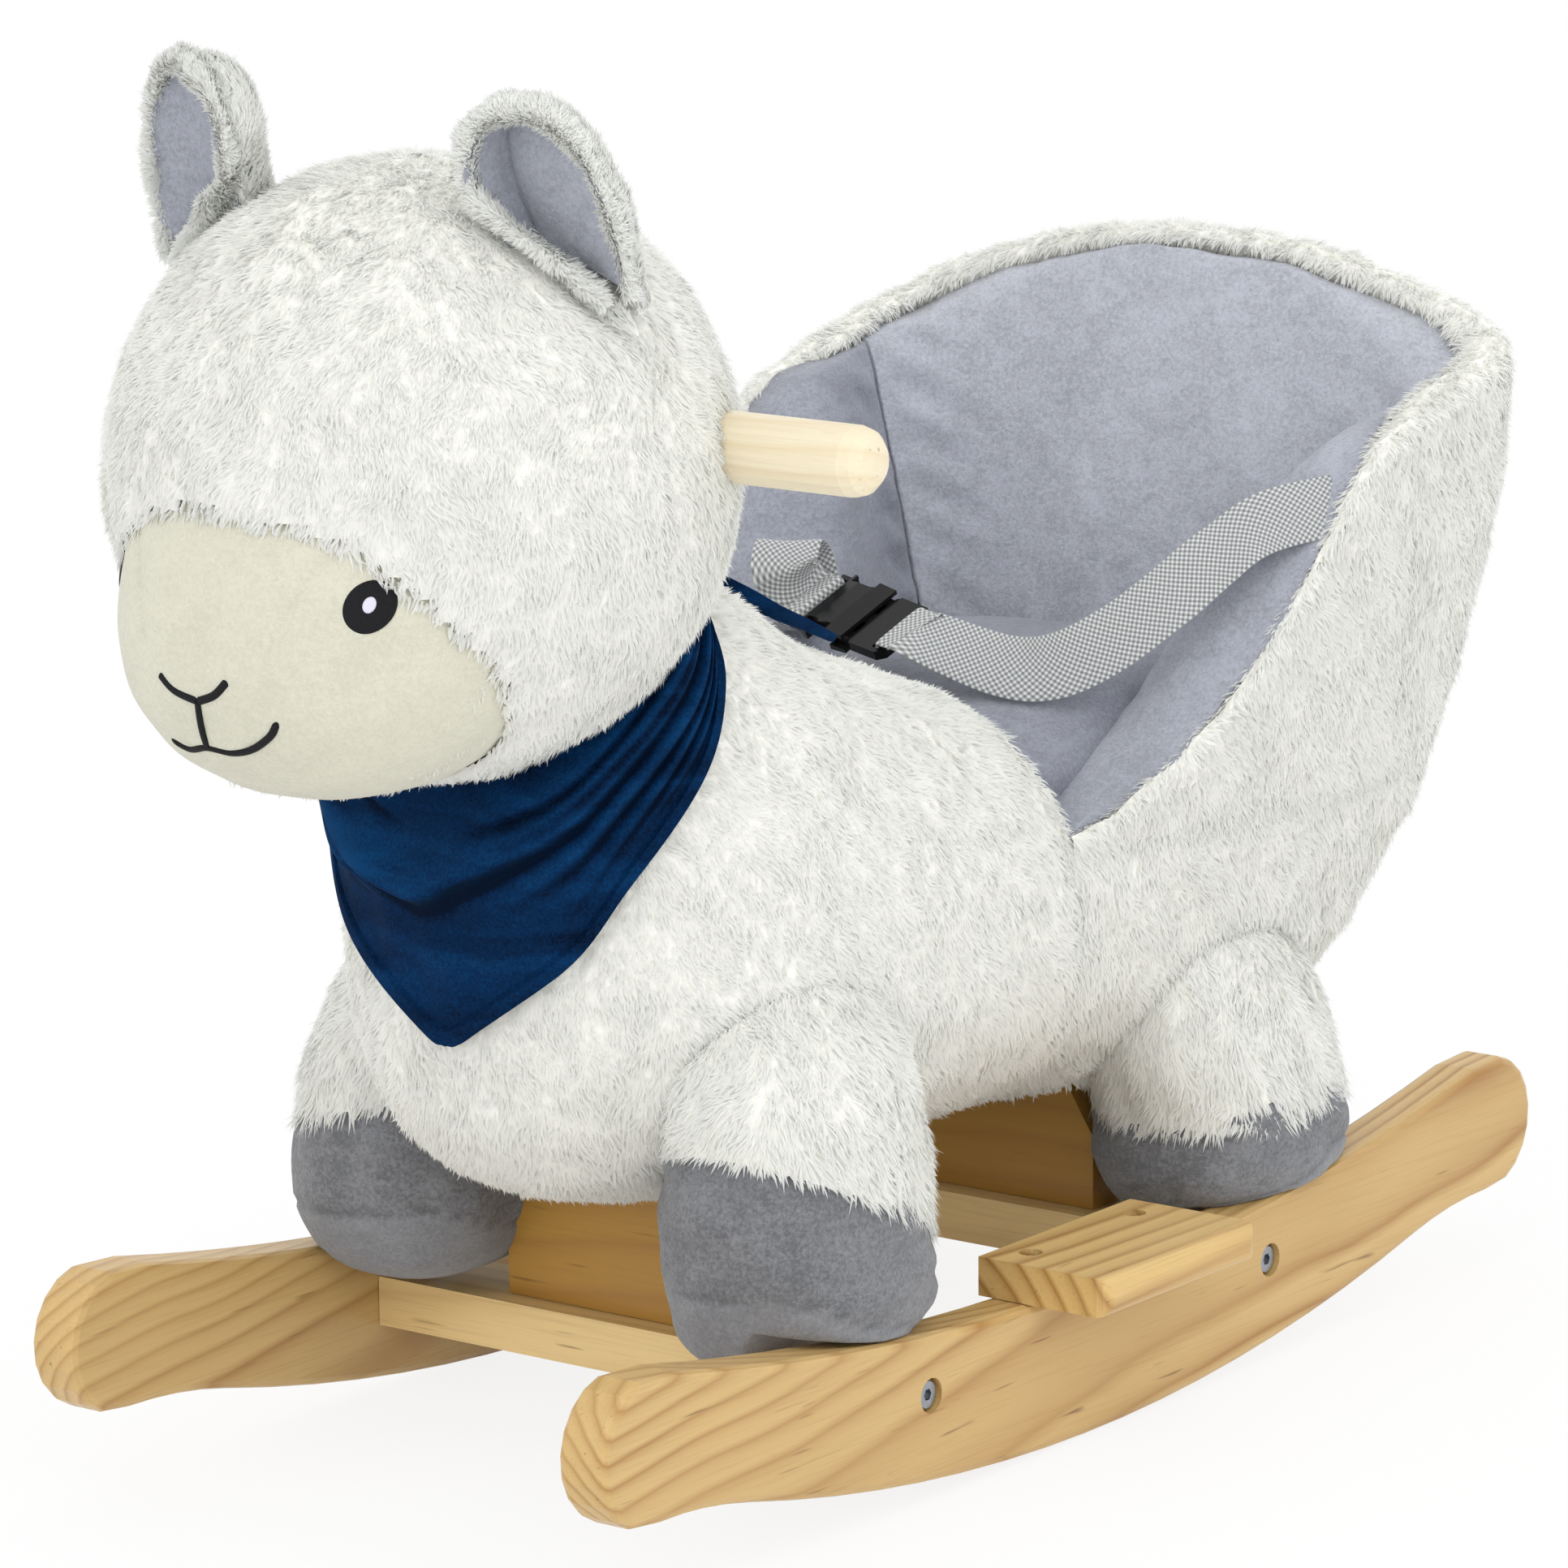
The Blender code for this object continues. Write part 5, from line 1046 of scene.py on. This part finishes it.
def make_face():
    """The muzzle with a sewn dart from each brow to the nose, and its embroidered face."""
    grid = face_grid()
    normal = grid_normals(grid, True, True)
    dart = through(DART_LINE, 40)
    flat = np.stack([np.abs(grid[..., 0]), grid[..., 2]], axis=-1)
    near = np.min(np.linalg.norm(flat[:, :, None] - dart[None, None], axis=-1), axis=-1)
    front = ease((FACE_CENTRE[1] - 0.02 - grid[..., 1]) / 0.02)
    press = 0.0009 * np.exp(-(near / 0.0016) ** 2) - 0.0006 * np.exp(-((near - 0.006) / 0.005) ** 2)
    grid = grid - normal * (front * press - 0.0004 * waves(grid, 0.03, 71))[..., None]
    x0, y0, z0 = FACE_CENTRE
    tips = ((x0, y0, z0 - FACE_HALF[2]), (x0, y0, z0 + FACE_HALF[2] * FACE_RISE))
    piece = closed("muzzle", grid, cream_velour, tips)
    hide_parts("face_patch")
    for label, x in EYES.items():
        disc_on_face("eye_" + label, x, EYE_HEIGHT, EYE_HALF, black_thread, 0.0012, 0.0)
        disc_on_face("eye_light_" + label, x, EYE_LIGHT_HEIGHT, EYE_LIGHT_HALF, lilac_thread, 0.0008, 0.0011)
    stitched("nose_left", [(0.0135, 0.3245), (0.0077, 0.3191), (0.0, 0.3160)], 0.0030)
    stitched("nose_right", [(-0.0175, 0.3235), (-0.0105, 0.3187), (0.0, 0.3160)], 0.0030)
    stitched("lip_stem", [(0.0, 0.3160), (-0.0012, 0.3087), (-0.0034, 0.2982)], 0.0026)
    stitched("smile", [(-0.0235, 0.2980), (-0.0144, 0.2956), (-0.0038, 0.2979), (0.0072, 0.2972),
                       (0.0164, 0.2997), (0.0249, 0.3053), (0.0291, 0.3110)], 0.0028)


def ear_frame(side):
    """Base point, upward, inward and facing directions of one ear."""
    base = np.array([side * EAR_BASE[0], EAR_BASE[1], EAR_BASE[2]])
    up = unit(np.array([side * -0.13, -0.28, 0.95]))
    facing = np.array([side * 0.22, -0.90, -0.23])
    facing = unit(facing - up * facing.dot(up))
    return base, up, np.cross(up, facing) * side * -1.0, facing


def ear_surface(side, h, u, inset, puff=0.0, crease=0.0):
    """The ear's arc at height h and width u, from -1 at its outer to 1 at its inner edge: across it goes
    half sin(angle) and back depth cos(angle), both narrowing to the tip as (1 - h^3)^(1/3). Low on the inner
    side it goes on past 1 as a flap across the leaf. puff swells the arc to both sides of a crease."""
    base, up, across, facing = ear_frame(side)
    h, u = np.broadcast_arrays(h, u)
    narrow = (1.0 - np.clip(h, 0.0, 1.0) ** 3) ** (1.0 / 3.0)
    flare = 0.88 + 0.14 * ease((h + 0.1) / 0.5)
    half, depth = EAR_HALF_WIDTH * narrow * flare - inset, EAR_DEPTH * (0.35 + 0.65 * narrow) - inset
    half, depth = np.maximum(half, 0.0005), np.maximum(depth, 0.0005)
    angle = 0.56 * np.pi * np.clip(u, -1.0, 1.0)
    past = np.clip((u - 1.0) / 0.35, 0.0, 1.0)
    inward = half * 1.8 * ease((0.38 - h) / 0.68) * past
    fold = np.where(u < crease, (u + 1) / (crease + 1), (1 - u) / (1 - crease))
    flat = ease((u - 0.55) / 0.30) * ease((0.55 - h) / 0.35)
    full = np.clip(narrow * 1.3 - 0.2, 0, 1) * (1.0 - flat)
    swell = puff * np.abs(np.sin(np.pi * np.clip(fold, 0, 1))) ** 0.5
    a = half * np.sin(angle)
    a = a - np.sign(a) * inward
    b = -depth * np.cos(angle) + swell * full + 0.0025 * narrow * np.sin(past * np.pi / 2)
    height = EAR_HEIGHT * (1.0 if side > 0 else 1.12)
    lift = h * height + 0.50 * a * (1.0 - 0.75 * np.maximum(h, 0.0))
    return base + a[..., None] * across + b[..., None] * facing + lift[..., None] * up


def ear_start(u, low):
    """The height at which the ear leaves the head: low at its inner side, and less so outside."""
    return low * (1.0 - 0.45 * ease(-u))


def ear_rim(side, low):
    """The path and the rings of a roll along the ear's edge: up its inner side, over the top and down its
    outer side."""
    along = np.linspace(-1.0, 1.0, 130)
    edge = np.where(along < 0, 1.35, -1.0)
    start = ear_start(edge, low)
    h = start + (1.0 - start) * (1.0 - np.abs(along) ** 2.6)
    facing = ear_frame(side)[3]
    path = ear_surface(side, h, edge, 0.0022) + facing * 0.0015
    run = run_along(path)
    even = np.linspace(0.0, run[-1], len(path))
    path, along = read_at(even, run, path), np.interp(even, run, along)
    for _ in range(6):
        path[1:-1] = (path[:-2] + 2.0 * path[1:-1] + path[2:]) / 4.0
    ahead = unit(np.gradient(path, axis=0))
    first = unit(np.cross(ahead, facing))
    second = np.cross(ahead, first)
    radius = (0.0034 + 0.0018 * np.exp(-(along / 0.4) ** 2))[:, None, None]
    turn = circle(30)[None, :, None]
    return path, path[:, None] + radius * (np.cos(turn) * first[:, None] + np.sin(turn) * second[:, None])


def make_ears():
    """Each ear is fur outside, a roll of fur along its edge, and a padded velour leaf with a crease."""
    for side, label in ((-1, "right"), (1, "left")):
        base, up, _, facing = ear_frame(side)
        middle = base + up * EAR_HEIGHT * 0.45
        u = np.linspace(-1.0, 1.35, 110)[None, :]
        start = ear_start(u, -0.36)
        outer = ear_surface(side, start + (1.0 - start) * np.linspace(0.0, 1.0, 80)[:, None], u, 0.0)
        upwards = lambda p, n: np.tile(up, (len(p), 1))
        fur("ear_fur_" + label, outer, STRANDS["ear"], outside_head, upwards, 0.0050, ["ear_" + label],
            wrap=False, flip=side > 0, seed=53 + side, sink=0.0006, lean=0.8)
        path, rim = ear_rim(side, -0.16)
        inside_out = bool(np.sum(grid_normals(rim, True, False) * (rim - path[:, None])) < 0)
        outwards = lambda p, n: unit(p - middle) + 0.4 * up - 0.3 * facing
        fur("ear_rim_" + label, rim, STRANDS["ear_rim"], outside_head, outwards, 0.0050, ["ear_" + label],
            flip=inside_out, seed=57 + side, sink=0.0002, lean=0.55, cell=0.0036)
        turn = np.linspace(-1.0, 0.9, 81)[None, :]
        start = ear_start(turn, -0.10) + 0.04
        rise = np.sin(np.linspace(0.0, np.pi / 2, 80))[:, None]
        h = start + (0.93 - start) * rise
        crown = 0.004 * np.clip((h - 0.40) / 0.50, 0.0, 1.0) ** 2.5
        front = ear_surface(side, h, turn, 0.0032 + crown, 0.0150, 0.42)
        back = ear_surface(side, h, turn, 0.0030 + crown)
        front = back + (front - back) * np.maximum(1.0 - rise ** 8, 0.0)[..., None] ** 0.5
        rings = np.concatenate([front, back[:, ::-1]], axis=1)
        piece = closed("ear_leaf_" + label, rings, grey_velour, flip=side < 0)
        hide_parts("ear_lining_" + label)


def pad_section(s, edges, round_power, plump):
    """One upright ring of a tub pad: its back against the board, and an inner face that curves over to the
    top as a superellipse, depth = reach (1 - climb^n)^(1/n), and swells between the seams."""
    rim = rim_at(s)
    top = rim - 0.0005 - 0.0070 * (1.0 - ease((np.abs(s) - 0.45) / 0.12))
    share = (s - edges[0]) / (edges[1] - edges[0])
    beside, outside = np.minimum(share, 1.0 - share), pad_outside(s)
    fill = 0.006 + plump * (1.0 - ease((np.abs(s) - 0.86) / 0.12) * 0.3)
    swell = fill * np.maximum(1.0 - np.abs(2 * share - 1) ** 5, 0.0) ** 0.5 - 0.0035
    climb = np.sin(np.linspace(0.0, np.pi / 2, 44))
    z_back = TUB_FLOOR + (top - 0.002 - TUB_FLOOR) * np.linspace(0.0, 1.0, 16)
    z_front = (TUB_FLOOR + (top - TUB_FLOOR) * climb)[::-1]
    pucker = 0.0022 * np.sin(z_front * 310.0 + 60.0 * s) * np.exp(-((beside - 0.05) / 0.05) ** 2)
    full = wall_point(s, z_front, 0.0)[2] - outside + swell + pucker * np.minimum(beside / 0.03, 1.0)
    depth = outside + full * (np.maximum(1.0 - climb[::-1] ** round_power, 0.0)) ** (1.0 / round_power)
    z = np.concatenate([z_back, z_front])
    x, y, _ = wall_point(np.full_like(z, s), z, np.concatenate([np.full(16, outside), depth]))
    return points_at(x, y, z)


def make_pads():
    """The back pad and the two wing pads, which grow fuller and rounder to the front."""
    # The back pad's velour carries painted light and the far wing pad's painted shade; the near wing's is the
    # plain grey velour
    for name, first, last, velour in (("back_pad", -0.45, 0.45, back_velour_painted_light),
                                      ("wing_pad_left", 0.455, 0.995, grey_velour),
                                      ("wing_pad_right", -0.995, -0.455, far_velour_painted_shade)):
        positions = first + (last - first) * (1 - np.cos(np.linspace(0.0, np.pi, 90))) / 2
        forward = ease((np.abs(positions) - 0.46) / 0.35)
        rings = np.stack([pad_section(s, (first, last), 7.0 - 4.6 * f, 0.024 * f)
                          for s, f in zip(positions, forward)])
        lumps = 0.0017 * waves(rings, 0.055, 83) + 0.0007 * waves(rings * [1.0, 1.0, 1.6], 0.022, 84)
        rings = rings + lumps[..., None] * unit(rings - [0.0, TUB_CENTRE_Y, 0.3])
        piece = closed(name + "_cover", rings, velour, flip=True)
        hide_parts(name)


def make_cushion():
    """A crowned seat cushion between the wings: its top is the seam's height plus the crown times
    (1 - |u|^5)^0.5 (1 - v^8)^0.45, less a droop in front that grows to its sides."""
    rows, columns = 90, 110
    v = np.sin(np.linspace(-1.0, 1.0, rows) * 1.5)[:, None] / math.sin(1.5)
    u = np.sin(np.linspace(-1.0, 1.0, columns) * np.pi / 2)[None, :]
    middle = (CUSHION_REAR + CUSHION_FRONT) / 2
    y = middle + (CUSHION_REAR - CUSHION_FRONT) / 2 * v
    low_half = seat_levels(TUB_FLOOR)[2]
    s = CORNER_ARC + (1.0 - CORNER_ARC) * np.clip((TUB_CENTRE_Y - y) / (TUB_CENTRE_Y - BODY_END), 0.0, 1.0)
    inner, _ = plan_curve(s, low_half, INNER_REAR, INNER_V_HALF, TUB_POWER, PAD_BOW)
    corner = 1.0 - 0.10 * np.clip((y - TUB_CENTRE_Y) / (CUSHION_REAR - TUB_CENTRE_Y), 0.0, 1.0) ** 2
    x = (inner - 0.0005) * corner * u * (1.0 - 0.02 * (1.0 - v**2) * np.abs(u) ** 3)
    fill = (1.0 - np.abs(u) ** 5) ** 0.5 * np.maximum(1.0 - v**8, 0.0) ** 0.45
    droop = (0.007 + 0.050 * (np.abs(x) / BODY_HALF) ** 2.4) * (1.0 - ease((y - CUSHION_FRONT) / 0.080))
    top = CUSHION_EDGE + (CUSHION_TOP - CUSHION_EDGE - droop) * fill
    upper = points_at(x, y, top)
    upper[..., 2] += 0.0012 * waves(upper, 0.06, 91) * fill
    lower = points_at(x * 0.97, middle + (y - middle) * 0.98, TUB_FLOOR + 0.0003)
    points = np.vstack([upper.reshape(-1, 3), lower.reshape(-1, 3)])
    shift = rows * columns
    faces = grid_faces(rows, columns)
    index = np.arange(shift).reshape(rows, columns)
    edge = np.concatenate([index[0], index[1:, -1], index[-1, -2::-1], index[-2:0:-1, 0]])
    after = np.roll(edge, -1)
    walls = np.stack([edge, edge + shift, after + shift, after], axis=1)
    mesh = mesh_from("cushion_cover", points, np.vstack([faces, faces[:, ::-1] + shift, walls]))
    # The cushion's darker velour is painted shade under the body
    piece = piece_from("cushion_cover", mesh, seat_velour_painted_shade)
    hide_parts("seat_cushion")


def round_neck(reach, turn, z):
    """Points at a reach from the neck's axis, turned by an angle from straight ahead."""
    return points_at(reach * np.sin(turn), SCARF_AXIS_Y - reach * np.cos(turn), z)


def scarf_reach(turn, z):
    """How far from the neck's axis a level ray leaves the body, found by halving."""
    low, high = np.zeros_like(z), np.full_like(z, 0.16)
    for _ in range(30):
        reach = (low + high) / 2
        inside = body_level(round_neck(reach, turn, z)) < 1.0
        low, high = np.where(inside, reach, low), np.where(inside, high, reach)
    return low


# Each fold runs along the scarf at a share of its height, swells above and drops more steeply below, and
# starts some way round from the front: at, height, above, below, start, run-in
SCARF_FOLDS = [(0.55, 0.0095, 0.17, 0.022, 0.0, 0.0), (0.42, 0.0060, 0.10, 0.020, 0.30, 0.5),
               (0.66, 0.0070, 0.09, 0.024, 0.35, 0.5), (0.78, 0.0060, 0.10, 0.026, 0.10, 0.4),
               (0.30, 0.0050, 0.09, 0.022, 0.60, 0.5), (0.19, 0.0038, 0.07, 0.022, 0.90, 0.4)]


def make_scarf():
    """A velvet kerchief: a band round the neck that drops to a point in front, with a turned hem below. Its
    points lie on the body, plus the drape and the highest of the folds at each place."""
    columns, rows, cloth = 330, 148, 0.0012
    turn = np.linspace(-np.pi, np.pi, columns, endpoint=False)[None, :]
    v = np.linspace(0.0, 1.0, rows)[:, None] ** 0.9
    lower, upper = scarf_limits(turn)
    z = lower + (upper - lower) * v
    turn = np.broadcast_to(turn, z.shape)
    points = round_neck(scarf_reach(turn, z), turn, z)
    normal = outward(body_level, points)
    aside, fold, painted_fold_shade = np.abs(turn), np.zeros_like(z), np.zeros_like(z)
    deepest = max(height for _, height, *_ in SCARF_FOLDS)
    for k, (at, height, above, below, start, run_in) in enumerate(SCARF_FOLDS):
        away = v - at - 0.035 * np.sin(2.3 * turn + 0.9 * k) - 0.012 * np.sin(5.1 * turn + 2.0 * k)
        full = height * (ease((aside - start) / run_in) if run_in else 1.0 - 0.35 * ease(aside / 1.2))
        fold = np.maximum(fold, full * np.exp(-((away / np.where(away > 0, above, below)) ** 2)))
        painted_fold_shade = np.maximum(painted_fold_shade, full / deepest * np.exp(-(((away + 0.035) / 0.035) ** 2)))
    quiet = 1.0 - 0.85 * ease((aside - 1.4) / 0.6)
    drape = 0.0092 * ease((v - 0.1) / 0.6) * ease((1.9 - aside) / 0.8)
    swell = fold * quiet * ease((1.0 - v) / 0.10) + drape
    swell = swell + 0.0008 * waves(points, 0.030, 61) * ease(v / 0.2)
    from_edge = v * (upper - lower)
    hem = 0.0010 * ease((0.0062 - from_edge) / 0.0008)
    hem = hem - 0.0007 * np.exp(-(((from_edge - 0.0068) / 0.0008) ** 2))
    inner = points + normal * (SCARF_OFFSET + swell)[..., None]
    outer = inner + normal * (cloth + hem)[..., None]
    loops = np.concatenate([inner, outer[::-1]], axis=0)
    faces = grid_faces(2 * rows, columns, wrap_rows=True, wrap_columns=True)
    mesh = mesh_from("kerchief", loops, faces)
    piece = piece_from("kerchief", mesh, navy_velvet)
    # Marked light on the crests of folds as painted highlight, and dark below them as painted shade
    lay = (0.55 * fold / deepest - 0.95 * painted_fold_shade) * quiet
    lay_mark(mesh, "lay", np.concatenate([lay, lay[::-1]]).ravel())
    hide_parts("bandana")
    return piece


def make_knot():
    """The knot behind the neck, a ball with wrapped turns, and one end of the cloth that trails over the
    back, rolled along its length."""
    middle = np.array(on_back(-0.002, -0.1045, 0.0065))
    grid = ball(middle, (0.0115, 0.0080, 0.0070), 40, 64)
    out = unit(grid - middle)
    grid = grid + out * (0.0009 * np.sin(grid[..., 0] * 900 + grid[..., 2] * 260))[..., None]
    knot = closed("kerchief_knot", grid, navy_velvet)
    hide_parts("bandana_knot")
    spots = [(0.000, -0.1035), (0.018, -0.1010), (0.031, -0.0930), (0.037, -0.0800), (0.0385, -0.0640),
             (0.0405, -0.0470)]
    widths = [0.010, 0.013, 0.014, 0.014, 0.012, 0.005]
    path = through([on_back(x, y, 0.0048) for x, y in spots], 90)
    width = through(np.column_stack([np.linspace(0, 1, 6), widths]), 90)[:, 1]
    turn = circle(60)[None, :]
    a = np.cos(turn) * width[:, None] / 2
    fold = 0.0022 * np.cos(2 * np.pi * a / 0.011 + 0.6) * ease(1 - np.abs(np.cos(turn)))
    b = 0.0014 * np.sin(turn) + fold + 0.0022 * np.abs(np.cos(turn)) ** 3
    ahead = unit(np.gradient(path, axis=0))
    across = unit(np.cross(ahead, [0.0, 0.4, 0.9]))
    out = np.cross(across, ahead)
    rings = path[:, None] + a[..., None] * across[:, None] + b[..., None] * out[:, None]
    tail = closed("kerchief_tail", rings, navy_velvet)
    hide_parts("bandana_tail")
    return knot, tail


def strap(name, path, across, body):
    """A flat strap along a smooth path, its section a flat oval, its UV yarns across and picks along."""
    steps, pick = 150, 0.0012
    centre, side = through(path, steps), through(across, steps)
    ahead = np.gradient(centre, axis=0)
    side = unit(side - ahead * (np.sum(side * ahead, axis=1) / np.sum(ahead * ahead, axis=1))[:, None])
    face = unit(np.cross(ahead, side))
    share = np.sin(np.linspace(-1.0, 1.0, 15) * np.pi / 2)
    around = np.concatenate([share, share[-2:0:-1]])
    level = np.concatenate([np.ones(15), -np.ones(13)]) * (1 - np.abs(around) ** 6) ** 0.5
    broad, thick = around[None, :, None] * WEB_WIDTH / 2, level[None, :, None] * WEB_THICKNESS / 2
    piece = closed(name, centre[:, None] + side[:, None] * broad + face[:, None] * thick, webbing, body=body)
    index = np.empty(len(piece.data.loops), int)
    piece.data.loops.foreach_get("vertex_index", index)
    count = steps * len(around)
    row, column = np.clip(index // len(around), 0, steps - 1), index % len(around)
    u = np.where(index < count, around[column] / 2 + 0.5, 0.5)
    layer = piece.data.uv_layers.new(name="UVMap")
    layer.data.foreach_set("uv", np.stack([u, run_along(centre)[row] / pick], 1).ravel())
    return piece


def buckle_frame():
    """The buckle's middle and its own axes: along, across and out of its top."""
    along = unit(np.array(BUCKLE_AXIS))
    across = unit(np.cross(BUCKLE_FACING, along))
    return np.array(BUCKLE_CENTRE), along, across, np.cross(along, across)


def make_belt():
    """Each strap leaves the pad near the rim, hangs to the buckle, crosses its end bar and dips behind it.
    The near one follows the plug and rides on no body; its place is baked into its points."""
    centre, along, across, out = buckle_frame()
    over = BAR_HALF_HEIGHT + WEB_THICKNESS / 2 + 0.0011
    near = ((0.139, 0.140, 0.327), (0.118, 0.122, 0.320), (0.105, 0.109, 0.308), (0.092, 0.096, 0.293),
            (0.075, 0.083, 0.277), (0.058, 0.071, 0.267), (0.041, 0.061, 0.267))
    far = ((-0.118, 0.130, 0.262), (-0.098, 0.108, 0.262), (-0.075, 0.084, 0.265), (-0.0568, 0.0700, 0.2722),
           (-0.0569, 0.0706, 0.2841), (-0.0587, 0.0679, 0.2975), (-0.0565, 0.0583, 0.3041),
           (-0.0527, 0.0499, 0.2953))
    on_edge, aslant = (0.08, 0.40, 0.91), (0.80, 0.60, 0.0)
    for side, label, end, slack in ((1, "left", PLUG_END, near), (-1, "right", SOCKET_BACK, far)):
        bar = [(end + side * 0.012, over), (end + side * 0.005, over + 0.0003), (end, over),
               (end - side * 0.0031, over), (end - side * 0.0046, 0.0005)]
        bar = bar if side > 0 else bar[1:]
        path = [*slack, *(tuple(centre + along * a + out * c) for a, c in bar)]
        share = np.linspace(0.0, 1.0, len(path))
        if side > 0:
            stops, keys = (0.0, 0.33, 0.48, 0.62, 1.0), [(0.35, 0.72, 0.60), on_edge, on_edge, across, across]
        else:
            stops, keys = (0.0, 0.64, 0.73, 1.0), [aslant, aslant, across, across]
        rider = None if side > 0 else "toy"
        piece = strap("strap_" + label, path, read_at(share, stops, np.array(keys)), rider)
        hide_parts("belt_" + label)
        if side > 0:
            end_point = centre + along * (end + 0.008) + [0.0, SHIFT, 0.0]
            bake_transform(piece)


def dress_hard_parts():
    """Better finishes on the wooden, metal and moulded parts, whose shapes stay."""
    quarter = math.pi / 2
    rocker = pine_finish("rocker_pine", PINE_LIGHT, PINE_DARK, (0.048, 0.030), 0.0056, 0.13, strength=1.25)
    # The crossbars' brighter pine is painted light and the uprights' darker pine painted shade
    bar = pine_finish("bar_pine_painted_light", BAR_PAINTED_LIGHT, PINE_DARK, (0.20, 0.000), 0.0100, 0.05, quarter, strength=0.5)
    post = pine_finish("post_pine_painted_shade", POST_PAINTED_SHADE, PINE_DARK, (0.20, 0.000), 0.0100, 0.05, quarter, strength=0.7)
    step = pine_finish("step_pine", STEP_LIGHT, PINE_DARK, (0.060, 0.010), 0.0090, 0.02, strength=1.4)
    pale = pine_finish("handle_wood", HANDLE_LIGHT, HANDLE_DARK, (0.18, 0.30), 0.0085, 0.02, quarter)
    finishes = {"rocker_left": rocker, "rocker_right": rocker, "handle_dowel": pale}
    for name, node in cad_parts.items():
        if name in finishes:
            finish = finishes[name]
        elif "crossbar" in name:
            finish = bar
        elif "upright" in name:
            finish = post
        elif name.startswith("footrest") and "screw" not in name:
            finish = step
        elif name.endswith("_board") or "_board_" in name:
            finish = plywood
        elif "bolt" in name or "insert" in name or "screw" in name:
            finish = zinc
        elif name.startswith("buckle"):
            finish = nylon
        else:
            continue
        for slot in node.material_slots:
            slot.material = finish


make_head()
make_body_fur()
make_tub_fur()
make_limbs()
make_face()
make_ears()
make_pads()
make_cushion()
scarf = make_scarf()
knot, tail = make_knot()
make_belt()
dress_hard_parts()


# Camera, light and floor


def aim_camera():
    """The photograph's view through a long lens."""
    a, e, roll = map(math.radians, (VIEW_AZIMUTH, VIEW_ELEVATION, VIEW_ROLL))
    back = Vector((math.sin(a) * math.cos(e), -math.cos(a) * math.cos(e), math.sin(e)))
    level = Vector((math.cos(a), math.sin(a), 0.0))
    upright = back.cross(level)
    right = math.cos(roll) * level + math.sin(roll) * upright
    up = -math.sin(roll) * level + math.cos(roll) * upright
    camera = bpy.data.objects.new("camera", bpy.data.cameras.new("camera"))
    bpy.context.scene.collection.objects.link(camera)
    place = Matrix((right, up, back)).transposed().to_4x4()
    place.translation = Vector(CAMERA_PLACE)
    camera.matrix_world = place
    camera.data.sensor_width = CAMERA_FRAME
    camera.data.lens = CAMERA_LENS
    bpy.context.scene.camera = camera


def add_lamp(name, spot, size, power, colour):
    """A round soft lamp turned to the object's middle."""
    lamp = bpy.data.lights.new(name, "AREA")
    lamp.shape = "DISK"
    lamp.size, lamp.energy, lamp.color = size, power, colour
    item = bpy.data.objects.new(name, lamp)
    bpy.context.scene.collection.objects.link(item)
    item.location = spot
    item.rotation_euler = (Vector(LIT_POINT) - Vector(spot)).to_track_quat("-Z", "Y").to_euler()


def light_scene():
    """Two lamps in a white world, a little stronger as light than it is seen."""
    scene = bpy.context.scene
    scene.view_settings.view_transform = "Standard"
    world = bpy.data.worlds.new("studio")
    world.use_nodes = True
    tree = world.node_tree
    sky = tree.nodes["Background"]
    sky.inputs[0].default_value = (1.0, 1.0, 1.0, 1.0)
    path = tree.nodes.new("ShaderNodeLightPath")
    seen = tree.nodes.new("ShaderNodeMath")
    seen.operation = "MAXIMUM"
    tree.links.new(path.outputs["Is Camera Ray"], seen.inputs[0])
    tree.links.new(path.outputs["Is Glossy Ray"], seen.inputs[1])
    level = tree.nodes.new("ShaderNodeMapRange")
    level.inputs["To Min"].default_value = 1.07
    level.inputs["To Max"].default_value = 1.0
    tree.links.new(seen.outputs[0], level.inputs["Value"])
    tree.links.new(level.outputs[0], sky.inputs[1])
    scene.world = world
    add_lamp("key", (0.7, -2.1, 2.7), 1.8, 12.8, (1.0, 0.995, 0.98))
    add_lamp("fill", (2.7, -0.9, 1.5), 2.0, 9.0, (0.98, 0.99, 1.0))


def lay_floor():
    """A pale floor that keeps the object's shadow and otherwise shows as white to the camera and in gloss."""
    mesh = bpy.data.meshes.new("floor")
    mesh.from_pydata([(-6, -6, 0), (6, -6, 0), (6, 6, 0), (-6, 6, 0)], [], [(0, 1, 2, 3)])
    floor = bpy.data.objects.new("floor", mesh)
    bpy.context.scene.collection.objects.link(floor)
    finish = Finish("floor", 0.9)
    finish.colour((0.93, 0.93, 0.93))
    path = finish.tree.nodes.new("ShaderNodeLightPath")
    seen = Value(finish, path.outputs["Is Camera Ray"]) + Value(finish, path.outputs["Is Glossy Ray"])
    finish.mix_shader(seen.limit() * 0.85, finish.tree.nodes.new("ShaderNodeEmission"))
    mesh.materials.append(finish.material)
    floor.location.z = -0.0005


aim_camera()
light_scene()
lay_floor()

bpy.context.view_layer.update()
